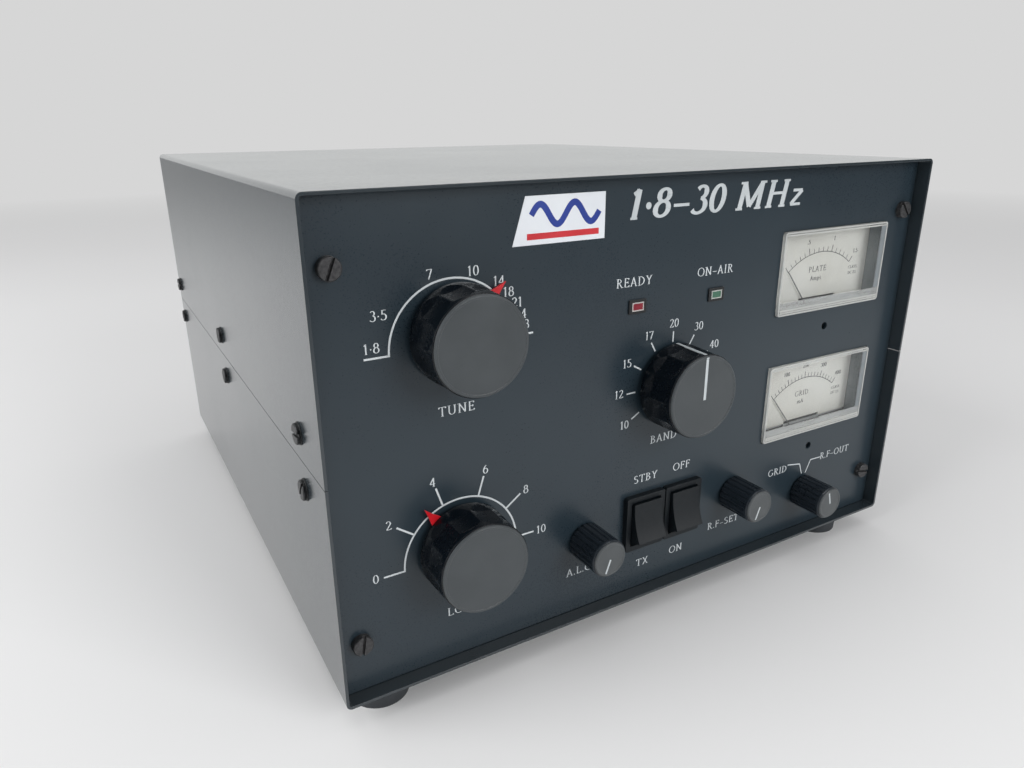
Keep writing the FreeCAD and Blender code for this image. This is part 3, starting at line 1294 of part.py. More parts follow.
def mains_inlet():
    """The shell of a three-pin appliance inlet: a flange and a hollow body."""
    x, z = rear_place(INLET_AT)
    face = REAR_FACE + INLET_FLANGE_T
    flange = rounded_block(x, z, *INLET_FLANGE, REAR_FACE, face, FLANGE_CORNER_R)
    body = centred_box(x, z, *INLET_BODY, REAR_INSIDE - INLET_BODY_L + PANEL_T, REAR_FACE + 1)
    recess = centred_box(x, z, *INLET_RECESS, face - INLET_RECESS_L, face + 1)
    return cut(fuse([flange, body]), [recess])


def inlet_blades():
    """The inlet's three contact blades, which stand on the floor of its recess."""
    x, z = rear_place(INLET_AT)
    floor = REAR_FACE + INLET_FLANGE_T - INLET_RECESS_L
    return group([centred_box(x + dx, z + dz, *INLET_BLADE, floor, floor + INLET_BLADE_L)
                  for dx, dz in INLET_BLADES_AT])


def earth_terminal():
    """A stud with an inner nut, a washer and a knurled hand nut."""
    x, z = rear_place(EARTH_AT)
    stud = rod_y(SCREW_R, x, z, REAR_INSIDE - EARTH_TAIL_L, REAR_FACE + EARTH_STUD_L)
    inner_nut = ring_nut(SCREW_HEAD_R, SCREW_R + HOLE_GAP, x, z, REAR_INSIDE - NUT_H, REAR_INSIDE)
    washer = cut(rod_y(WASHER_R, x, z, REAR_FACE, REAR_FACE + WASHER_T),
                 [rod_y(SCREW_R + HOLE_GAP, x, z, REAR_FACE - 1, REAR_FACE + WASHER_T + 1)])
    low = REAR_FACE + WASHER_T
    hand_nut = rod_y(EARTH_NUT_R, x, z, low, low + EARTH_NUT_H)
    knurl = rod_y(KNURL_R, x + EARTH_NUT_R + KNURL_OUT, z, low - 1, low + EARTH_NUT_H + 1)
    knurls = [spin(knurl, x, z, i * 360 / KNURLS) for i in range(KNURLS)]
    bore = rod_y(SCREW_R + HOLE_GAP, x, z, low - 1, low + EARTH_NUT_H + 1)
    return group([stud, inner_nut, washer, cut(hand_nut, knurls + [bore])])


# ---- the assembly ------------------------------------------------------------------------------
def all_nodes():
    lamps = lamp_places()
    meters = meter_places()
    rockers = rocker_places()
    nodes = {
        "upper_cover": upper_cover(),
        "lower_cover": lower_cover(),
        "front_panel": front_panel(),
        "rear_panel": rear_panel(),
        "feet": feet(),
        "chassis_frame": chassis_frame(),
        "base_tray": base_tray(),
        "capacitor_bracket": capacitor_bracket(),
        "valve_deck": valve_deck(),
        "cover_screws": cover_screws(),
        "panel_screws": panel_screws(),
        "shaft_bushes": shaft_bushes(),
        "control_bodies": control_bodies(),
        "tune_stator": capacitor_stator(TUNE_AT),
        "tune_rotor": capacitor_rotor(TUNE_AT, TUNE_ANGLE),
        "load_stator": capacitor_stator(LOAD_AT),
        "load_rotor": capacitor_rotor(LOAD_AT, LOAD_ANGLE),
        "band_switch_body": band_switch_body(),
        "band_switch_rotor": band_switch_rotor(),
        "switch_housings": switch_housings(),
        "standby_rocker": rocker(rockers[0]),
        "power_rocker": rocker(rockers[1]),
        "meter_lenses": group([meter_lens(*m) for m in meters]),
        "meter_cases": group([meter_case(*m) for m in meters]),
        "meter_dials": group([meter_dial(*m) for m in meters]),
        "plate_needle": needle(meters[0]),
        "grid_needle": needle(meters[1]),
        "lamp_bezels": lamp_bezels(),
        "ready_lamp": lamp_lens(lamps[0]),
        "on_air_lamp": lamp_lens(lamps[1]),
        "valves": valves(),
        "valve_sockets": valve_sockets(),
        "rf_coils": rf_coils(),
        "power_transformer": power_transformer(),
        "circuit_boards": circuit_boards(),
        "reservoir_capacitors": reservoir_capacitors(),
        "relays": relays(),
        "fan_frame": fan_frame(),
        "fan_rotor": fan_rotor(),
        "fan_guard": fan_guard(),
        "coax_sockets": coax_sockets(),
        "phono_sockets": phono_sockets(),
        "fuse_holders": fuse_holders(),
        "mains_inlet": mains_inlet(),
        "inlet_blades": inlet_blades(),
        "earth_terminal": earth_terminal(),
    }
    for name, at in (("tune", TUNE_AT), ("load", LOAD_AT), ("band", BAND_AT)):
        nodes[name + "_knob"] = big_knob(at)
        nodes[name + "_knob_cap"] = knob_cap(at, BIG_REACH, BIG_CAP_R, BIG_CAP_T)
    for name, at in (("alc", ALC_AT), ("rf_set", RF_SET_AT), ("meter_select", SELECT_AT)):
        nodes[name + "_knob"] = small_knob(at)
        nodes[name + "_knob_cap"] = knob_cap(at, SMALL_REACH, SMALL_CAP_R, SMALL_CAP_T)
    nodes["tune_pointer"] = pointer(TUNE_AT, TUNE_ANGLE)
    nodes["load_pointer"] = pointer(LOAD_AT, LOAD_ANGLE)
    return nodes


def main():
    os.makedirs("parts", exist_ok=True)
    for name, shape in all_nodes().items():
        if not shape.isValid() or not shape.Solids:
            print("invalid", name)
        shape.exportStep("parts/" + name + ".step")


main()
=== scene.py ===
import json
import math

import bmesh
import bpy
from mathutils import Matrix, Vector


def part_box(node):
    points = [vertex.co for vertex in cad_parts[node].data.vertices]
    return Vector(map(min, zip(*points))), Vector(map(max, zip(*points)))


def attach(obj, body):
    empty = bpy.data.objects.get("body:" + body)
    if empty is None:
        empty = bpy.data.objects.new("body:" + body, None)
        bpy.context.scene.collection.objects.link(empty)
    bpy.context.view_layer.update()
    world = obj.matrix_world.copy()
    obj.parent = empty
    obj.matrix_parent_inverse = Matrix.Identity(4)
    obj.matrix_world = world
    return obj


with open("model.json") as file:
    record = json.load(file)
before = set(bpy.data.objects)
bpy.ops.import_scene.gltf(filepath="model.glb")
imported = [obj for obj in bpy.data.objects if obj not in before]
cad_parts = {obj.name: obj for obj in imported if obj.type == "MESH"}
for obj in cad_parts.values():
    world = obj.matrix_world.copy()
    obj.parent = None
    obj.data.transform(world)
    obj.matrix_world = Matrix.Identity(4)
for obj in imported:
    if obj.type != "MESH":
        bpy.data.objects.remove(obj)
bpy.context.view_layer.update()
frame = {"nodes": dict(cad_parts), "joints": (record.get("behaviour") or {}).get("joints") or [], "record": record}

# The looks of a desktop radio-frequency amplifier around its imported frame. Lengths are in
# millimetres until they are turned into metres by MM. Places on the front panel are given as
# (from the case's left face, above the case's underside), places on the rear panel from the right.

MM = 0.001
CABINET = "cabinet"


# ---- places taken from the frame ---------------------------------------------------------------
def low(node):
    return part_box(node)[0] / MM


def high(node):
    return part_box(node)[1] / MM


def middle(node):
    return (low(node) + high(node)) / 2


LEFT = low("lower_cover").x
RIGHT = high("lower_cover").x
CASE_LOW = low("lower_cover").z
CASE_FRONT = low("lower_cover").y
PANEL_Y = low("front_panel").y
REAR_Y = high("rear_panel").y
DIAL_Y = low("meter_dials").y
LENS_Y = low("meter_lenses").y


def front(u, v, out):
    """A point on the front panel, out millimetres ahead of it."""
    return Vector((LEFT + u, PANEL_Y - out, CASE_LOW + v)) * MM


def rear(u, v, out):
    """A point on the rear panel, out millimetres behind it, with u from the case's right face."""
    return Vector((RIGHT - u, REAR_Y + out, CASE_LOW + v)) * MM


def dial(u, v, out):
    """A point on the meter dials' printed face, out millimetres ahead of it."""
    return Vector((LEFT + u, DIAL_Y - out, CASE_LOW + v)) * MM


# ---- lettering ---------------------------------------------------------------------------------
# A serif alphabet drawn with a pen that is broad on upright strokes and fine on level ones. A glyph
# is (width, strokes) with a cap height of 1. L is a line from one point to another, A is part of an
# ellipse (centre, radii, first and last angle), S is a serif centred on a point, D is a dot.
GLYPHS = {
    "0": (0.56, "A .28 .5 .22 .47 0 360"),
    "1": (0.44, "L .23 .03 .23 1; L .24 .97 .08 .83; S .23 .02"),
    "2": (0.54, "A .26 .74 .19 .23 165 -30; L .43 .63 .07 .05; L .06 .05 .50 .05; L .49 .04 .51 .17"),
    "3": (0.52, "A .24 .76 .17 .21 150 -85; A .22 .28 .24 .26 85 -150"),
    "4": (0.58, "L .40 .02 .40 .98; L .40 .96 .04 .30; L .04 .30 .55 .30; S .40 .02"),
    "5": (0.54, "L .14 .95 .47 .95; L .15 .97 .12 .56; A .23 .32 .24 .29 115 -150"),
    "6": (0.56, "A .29 .31 .21 .29 0 360; A .56 .31 .49 .67 180 112"),
    "7": (0.52, "L .05 .94 .49 .94; L .48 .95 .19 .01; L .06 .95 .05 .82"),
    "8": (0.54, "A .27 .75 .17 .21 0 360; A .27 .28 .22 .26 0 360"),
    "·": (0.22, "D .11 .42"),
    ".": (0.22, "D .11 .07"),
    "–": (0.62, "L .03 .36 .59 .36"),
    " ": (0.30, ""),
    "A": (0.70, "L .34 .98 .08 .02; L .33 1 .60 .02; L .17 .34 .50 .34; S .07 .02; S .61 .02"),
    "B": (0.64, "L .15 0 .15 1; A .18 .76 .28 .22 90 -90; A .18 .28 .35 .26 90 -90; S .12 .98; S .12 .02"),
    "C": (0.72, "A .42 .5 .35 .48 50 312"),
    "D": (0.76, "L .15 0 .15 1; A .20 .5 .46 .48 90 -90; S .12 .98; S .12 .02"),
    "E": (0.60, "L .15 0 .15 1; L .08 .97 .50 .97; L .15 .52 .42 .52; L .08 .03 .54 .03; "
                "L .50 .98 .50 .82; L .42 .62 .42 .42; L .54 .02 .55 .18"),
    "F": (0.56, "L .15 0 .15 1; L .08 .97 .50 .97; L .15 .52 .42 .52; S .15 .02; "
                "L .50 .98 .50 .82; L .42 .62 .42 .42"),
    "G": (0.78, "A .42 .5 .35 .48 48 322; L .69 .12 .69 .42; S .68 .42"),
    "H": (0.78, "L .15 0 .15 1; L .63 0 .63 1; L .15 .52 .63 .52; "
                "S .15 .02; S .15 .98; S .63 .02; S .63 .98"),
    "I": (0.32, "L .16 0 .16 1; S .16 .02; S .16 .98"),
    "L": (0.58, "L .15 0 .15 1; S .15 .98; L .08 .03 .52 .03; L .52 .02 .53 .18"),
    "M": (0.90, "L .13 .02 .15 .98; L .14 1 .45 .10; L .45 .10 .75 .98; L .76 0 .75 1; "
                "S .12 .02; S .76 .02; S .12 .98; S .78 .98"),
    "N": (0.78, "L .15 .02 .15 .98; L .14 1 .64 .02; L .64 .02 .64 .98; S .15 .02; S .10 .98; S .64 .98"),
    "O": (0.80, "A .40 .5 .35 .48 0 360"),
    "P": (0.60, "L .15 0 .15 1; A .18 .74 .33 .24 90 -90; S .15 .02; S .12 .98"),
    "R": (0.68, "L .15 0 .15 1; A .18 .75 .30 .23 90 -90; L .30 .52 .58 .02; "
                "S .15 .02; S .12 .98; S .62 .02"),
    "S": (0.56, "A .28 .75 .18 .23 35 262; A .27 .27 .21 .25 82 -145"),
    "T": (0.66, "L .33 0 .33 1; L .05 .97 .61 .97; S .33 .02; L .05 .98 .05 .82; L .61 .98 .61 .82"),
    "U": (0.78, "L .15 1 .15 .32; A .39 .32 .24 .30 180 360; L .63 .32 .63 .98; S .15 .98; S .63 .98"),
    "X": (0.72, "L .12 .98 .60 .02; L .58 .98 .12 .02; S .12 .98; S .59 .98; S .12 .02; S .61 .02"),
    "Y": (0.68, "L .10 .98 .34 .48; L .57 .98 .34 .48; L .34 .50 .34 0; S .34 .02; S .10 .98; S .58 .98"),
    "m": (0.84, "L .14 0 .14 .62; A .28 .40 .15 .21 160 0; L .43 .42 .43 0; "
                "A .57 .40 .15 .21 160 0; L .72 .42 .72 0; S .14 .02; S .43 .02; S .72 .02"),
    "p": (0.56, "L .14 -.28 .14 .62; A .30 .31 .19 .29 130 -130; S .14 -.26"),
    "s": (0.44, "A .21 .46 .12 .15 35 262; A .20 .17 .15 .16 82 -145"),
    "z": (0.50, "L .07 .58 .42 .58; L .41 .58 .08 .04; L .07 .04 .44 .04"),
}
PEN_BROAD = 0.145
PEN_FINE = 0.066
SERIF_HALF = 0.115
SERIF_PEN = 0.8
DOT_R = 0.075
LETTER_GAP = 0.10
LETTER_STRETCH = 1.3
DIGIT_STRETCH = 1.12
INK_SUNK = 0.01
STROKE_LIFT = 0.004
STROKE_LEVELS = 12
ARC_STEPS = 96
GLYPH_ARC_STEPS = 24
FEWEST_STEPS = 4
SAME_POINT = 1e-6


def ellipse(cx, cy, rx, ry, first, last):
    """Points along part of an ellipse; a glyph's curves are less than 1 in radius and need fewer."""
    full_turn = GLYPH_ARC_STEPS if rx < 1 else ARC_STEPS
    steps = max(FEWEST_STEPS, math.ceil(full_turn * abs(last - first) / 360))
    angles = [math.radians(first + (last - first) * i / steps) for i in range(steps + 1)]
    return [(cx + rx * math.cos(a), cy + ry * math.sin(a)) for a in angles]


def skin(mesh, rows, closed=False):
    """Faces between four-cornered rows of vertices; an open run of rows gets its two ends as well."""
    for near, far in zip(rows, rows[1:] + (rows[:1] if closed else [])):
        for k in range(4):
            m = (k + 1) % 4
            mesh.faces.new([near[k], near[m], far[m], far[k]])
    if not closed:
        mesh.faces.new(rows[0][::-1])
        mesh.faces.new(rows[-1])


class Print:
    """Flat ink or film built up stroke by stroke on one surface, as thin closed prisms."""

    def __init__(self, to_world, thickness):
        self.mesh = bmesh.new()
        self.to_world = to_world
        self.thickness = thickness
        self.count = 0

    def next_top(self):
        """The next stroke's height; neighbours differ by a hair, so that crossing ones never coincide."""
        top = self.thickness + STROKE_LIFT * (self.count % STROKE_LEVELS)
        self.count += 1
        return top

    def polygon(self, points):
        """A filled outline."""
        top = self.next_top()
        upper = [self.mesh.verts.new(self.to_world(x, y, top)) for x, y in points]
        lower = [self.mesh.verts.new(self.to_world(x, y, -INK_SUNK)) for x, y in points]
        self.mesh.faces.new(upper)
        self.mesh.faces.new(lower[::-1])
        for i in range(len(points)):
            j = (i + 1) % len(points)
            self.mesh.faces.new([upper[i], lower[i], lower[j], upper[j]])

    def stroke(self, points, width):
        """A band along a line of points; width is a number or a function of the direction."""
        closed = math.dist(points[0], points[-1]) < SAME_POINT
        top = self.next_top()
        rows = []
        n = len(points)
        for i, (x, y) in enumerate(points):
            before = points[i - 1] if i else (points[-2] if closed else points[0])
            after = points[i + 1] if i < n - 1 else (points[1] if closed else points[-1])
            dx, dy = after[0] - before[0], after[1] - before[1]
            size = math.hypot(dx, dy)
            half = (width(dx / size, dy / size) if callable(width) else width) / 2
            nx, ny = -dy / size * half, dx / size * half
            one, other = (x + nx, y + ny), (x - nx, y - ny)
            corners = [(*one, top), (*other, top), (*other, -INK_SUNK), (*one, -INK_SUNK)]
            rows.append([self.mesh.verts.new(self.to_world(*c)) for c in corners])
        skin(self.mesh, rows)

    def line(self, x0, y0, x1, y1, width):
        self.stroke([(x0, y0), (x1, y1)], width)

    def arc(self, cx, cy, radius, first, last, width):
        self.stroke(ellipse(cx, cy, radius, radius, first, last), width)

    def tick(self, cx, cy, r0, r1, angle, width):
        """A line from radius r0 to radius r1."""
        c, s = math.cos(math.radians(angle)), math.sin(math.radians(angle))
        self.line(cx + r0 * c, cy + r0 * s, cx + r1 * c, cy + r1 * s, width)

    def disc(self, cx, cy, radius):
        self.polygon(ellipse(cx, cy, radius, radius, 0, 360)[:-1])

    def text(self, words, x, y, height, anchor=0.5, slant=0.0, weight=1.0, stretch=1.0):
        """Lettering with its feet at y; x is its left end for anchor 0 and its middle for anchor 0.5."""
        wide = [stretch * (LETTER_STRETCH if c.isalpha() else DIGIT_STRETCH) for c in words]
        advance = [(GLYPHS[c][0] + LETTER_GAP) * height * w for c, w in zip(words, wide)]
        at = x - sum(advance) * anchor
        for c, w, step in zip(words, wide, advance):
            self.glyph(GLYPHS[c][1], at + LETTER_GAP / 2 * height * w, y, height, slant, weight, w)
            at += step

    def glyph(self, strokes, x, y, height, slant, weight, stretch):
        def place(px, py):
            return x + (px * stretch + py * slant) * height, y + py * height

        def pen(dx, dy):
            return (PEN_FINE + (PEN_BROAD - PEN_FINE) * dy * dy) * height * weight

        for item in filter(None, (s.strip() for s in strokes.split(";"))):
            kind, *numbers = item.split()
            v = [float(s) for s in numbers]
            if kind == "L":
                self.stroke([place(v[0], v[1]), place(v[2], v[3])], pen)
            elif kind == "A":
                self.stroke([place(*p) for p in ellipse(*v)], pen)
            elif kind == "S":
                ends = [place(v[0] - SERIF_HALF, v[1]), place(v[0] + SERIF_HALF, v[1])]
                self.stroke(ends, PEN_FINE * SERIF_PEN * height * weight)
            else:
                self.disc(*place(*v), DOT_R * height * weight)

    def piece(self, name, body, material):
        bmesh.ops.recalc_face_normals(self.mesh, faces=self.mesh.faces)
        mesh_piece(name, self.mesh, body, material)


def mesh_piece(name, mesh, body, material):
    """A bmesh in the frame's metres, made into a flat-shaded piece that rides on a body."""
    data = bpy.data.meshes.new(name)
    mesh.to_mesh(data)
    mesh.free()
    data.materials.append(material)
    obj = bpy.data.objects.new(name, data)
    bpy.context.scene.collection.objects.link(obj)
    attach(obj, body)


# ---- materials ---------------------------------------------------------------------------------
# A noise's values lie mostly within NOISE_SPAN, and nearly all within WIDE_SPAN.
NOISE_SPAN = (0.35, 0.65)
WIDE_SPAN = (0.3, 0.7)
WEAR_SPAN = (0.38, 0.62)
LEAST_WEAR = 0.15
ROUGH_SPREAD = 0.15
BEVEL_SAMPLES = 6
WINDOW_TINT = (0.95, 0.96, 0.97, 1)
WINDOW_MILK = (0.9, 0.92, 0.94, 1)
WINDOW_HAZE = (0.02, 0.07)
WINDOW_EDGE = 0.9
WINDOW_ROUGH = 0.06
SCHLICK_POWER = 5.0
FACE_GLOSS = 0.04
PALE_FILM_ROUGH = (0.25, 0.4)
PALE_FILM_SPREAD = 0.4
STREAK_STRETCH = (0.08, 1, 1)


class Nodes:
    """A short way to write the node tree of a material or a world."""

    def __init__(self, owner, out_kind):
        owner.use_nodes = True
        self.owner = owner
        self.tree = owner.node_tree
        self.tree.nodes.clear()
        self.out = self.tree.nodes.new(out_kind)
        self.texture = self.tree.nodes.new("ShaderNodeTexCoord").outputs

    def add(self, kind, values=None, **settings):
        node = self.tree.nodes.new(kind)
        for key, value in settings.items():
            setattr(node, key, value)
        for key, value in (values or {}).items():
            self.feed(node.inputs[key], value)
        return node

    def feed(self, socket, value):
        """Link another node's output to an input, or set the input's own value."""
        if isinstance(value, bpy.types.NodeSocket):
            self.tree.links.new(value, socket)
        else:
            socket.default_value = value

    def noise(self, scale, detail=3.0, roughness=0.5, stretch=(1, 1, 1)):
        moved = self.add("ShaderNodeMapping", {"Vector": self.texture["Object"], "Scale": stretch})
        values = {"Vector": moved.outputs[0], "Scale": scale, "Detail": detail, "Roughness": roughness}
        return self.add("ShaderNodeTexNoise", values).outputs["Fac"]

    def ramp(self, fac, first, last, start=0.0, end=1.0):
        """A number that goes from start to end while fac goes from first to last."""
        values = {"Value": fac, "From Min": first, "From Max": last, "To Min": start, "To Max": end}
        return self.add("ShaderNodeMapRange", values).outputs[0]

    def mix(self, fac, one, other):
        """A colour between two; sockets 6 and 7 are a Mix node's colours and output 2 its colour."""
        node = self.add("ShaderNodeMix", {"Factor": fac}, data_type="RGBA")
        self.feed(node.inputs[6], one)
        self.feed(node.inputs[7], other)
        return node.outputs[2]

    def mix_shader(self, fac, one, other):
        return self.add("ShaderNodeMixShader", {0: fac, 1: one, 2: other}).outputs[0]

    def math(self, operation, *values):
        return self.add("ShaderNodeMath", dict(enumerate(values)), operation=operation).outputs[0]

    def rounded_normal(self, radius):
        return self.add("ShaderNodeBevel", {"Radius": radius * MM}, samples=BEVEL_SAMPLES).outputs[0]

    def edges(self, radius, first=0.01, last=0.12):
        """1 on edges and 0 on flats, from how far a rounded normal leans away from the true one."""
        true = self.add("ShaderNodeNewGeometry").outputs["Normal"]
        normals = {0: self.rounded_normal(radius), 1: true}
        lean = self.add("ShaderNodeVectorMath", normals, operation="DOT_PRODUCT").outputs["Value"]
        return self.ramp(self.math("SUBTRACT", 1.0, lean), first, last)

    def bump(self, heights, distance, edge_radius):
        values = {"Height": heights, "Distance": distance * MM, "Normal": self.rounded_normal(edge_radius)}
        return self.add("ShaderNodeBump", values).outputs[0]

    def surface(self, shader):
        self.tree.links.new(shader, self.out.inputs["Surface"])
        return self.owner


def material_nodes(name):
    return Nodes(bpy.data.materials.new(name), "ShaderNodeOutputMaterial")


def rgb(red, green, blue):
    """A colour given as it looks on a screen, 0 to 255, turned into linear light."""
    def linear(v):
        v /= 255
        return v / 12.92 if v <= 0.04045 else ((v + 0.055) / 1.055) ** 2.4
    return (linear(red), linear(green), linear(blue), 1.0)


def finish_of(name, dark, light, rough, grain, bump, patch=60.0, stretch=(1, 1, 1), metallic=0.0,
              edge=None, edge_radius=0.25, edge_amount=0.5, ior=1.5, coat=0.0, detail=3.0):
    """A solid finish: two close colours in soft patches, a fine grain, and a lighter worn edge."""
    n = material_nodes(name)
    patches = n.noise(patch, detail=4.0, roughness=0.6)
    fine = n.noise(grain, detail, roughness=0.55, stretch=stretch)
    colour = n.mix(n.ramp(patches, *NOISE_SPAN), rgb(*dark), rgb(*light))
    if edge:
        wear = n.noise(grain / 3, detail=4.0, roughness=0.7)
        worn = n.math("MULTIPLY", n.edges(edge_radius), n.ramp(wear, *WEAR_SPAN, LEAST_WEAR))
        colour = n.mix(n.math("MULTIPLY", worn, edge_amount), colour, rgb(*edge))
    both = n.math("ADD", n.math("MULTIPLY", patches, 0.5), n.math("MULTIPLY", fine, 0.5))
    roughness = n.ramp(both, *NOISE_SPAN, rough * (1 - ROUGH_SPREAD), rough * (1 + ROUGH_SPREAD))
    values = {"Base Color": colour, "Roughness": roughness, "Normal": n.bump(fine, bump, edge_radius),
              "Metallic": metallic, "IOR": ior, "Coat Weight": coat, "Coat Roughness": rough}
    return n.surface(n.add("ShaderNodeBsdfPrincipled", values).outputs[0])


def clear_window(name, edge_glint):
    """Clear moulded plastic or glass: see-through and glossy, with a little haze, and paler milky edges as a
    painted highlight where they catch the light.
    """
    n = material_nodes(name)
    haze = n.ramp(n.noise(70.0, detail=4.0, roughness=0.6), *WIDE_SPAN, *WINDOW_HAZE)
    # Painted highlight: the edges are turned milky and pale, as if they caught the light.
    edges = n.edges(WINDOW_EDGE, first=0.02, last=0.2)
    haze = n.math("MAXIMUM", haze, n.math("MULTIPLY", edges, edge_glint))
    see = n.add("ShaderNodeBsdfTransparent", {"Color": WINDOW_TINT}).outputs[0]
    milky = n.add("ShaderNodeBsdfTranslucent", {"Color": WINDOW_MILK}).outputs[0]
    gloss = n.add("ShaderNodeBsdfGlossy", {"Roughness": WINDOW_ROUGH}).outputs[0]
    facing = n.add("ShaderNodeLayerWeight", {"Blend": 0.5}).outputs["Facing"]
    grazing = n.math("POWER", facing, SCHLICK_POWER)
    sheen = n.math("MULTIPLY_ADD", grazing, 1 - FACE_GLOSS, FACE_GLOSS)
    return n.surface(n.mix_shader(sheen, n.mix_shader(haze, see, milky), gloss))


def pale_plastic_and_glint(name, dark, light, clear):
    """Milky, finely streaked film, clear is what shines through: the lamps' pale rims, and a painted highlight
    where the meter windows' clear plastic, moulded in steps, catches the light.
    """
    n = material_nodes(name)
    streaks = n.noise(260.0, detail=3.0, roughness=0.6, stretch=STREAK_STRETCH)
    colour = n.mix(n.ramp(streaks, *NOISE_SPAN), rgb(*dark), rgb(*light))
    values = {"Base Color": colour, "Roughness": n.ramp(streaks, *WIDE_SPAN, *PALE_FILM_ROUGH)}
    body = n.add("ShaderNodeBsdfPrincipled", values).outputs[0]
    see = n.add("ShaderNodeBsdfTransparent").outputs[0]
    amount = n.ramp(streaks, *WIDE_SPAN, clear * (1 - PALE_FILM_SPREAD), clear * (1 + PALE_FILM_SPREAD))
    return n.surface(n.mix_shader(amount, body, see))


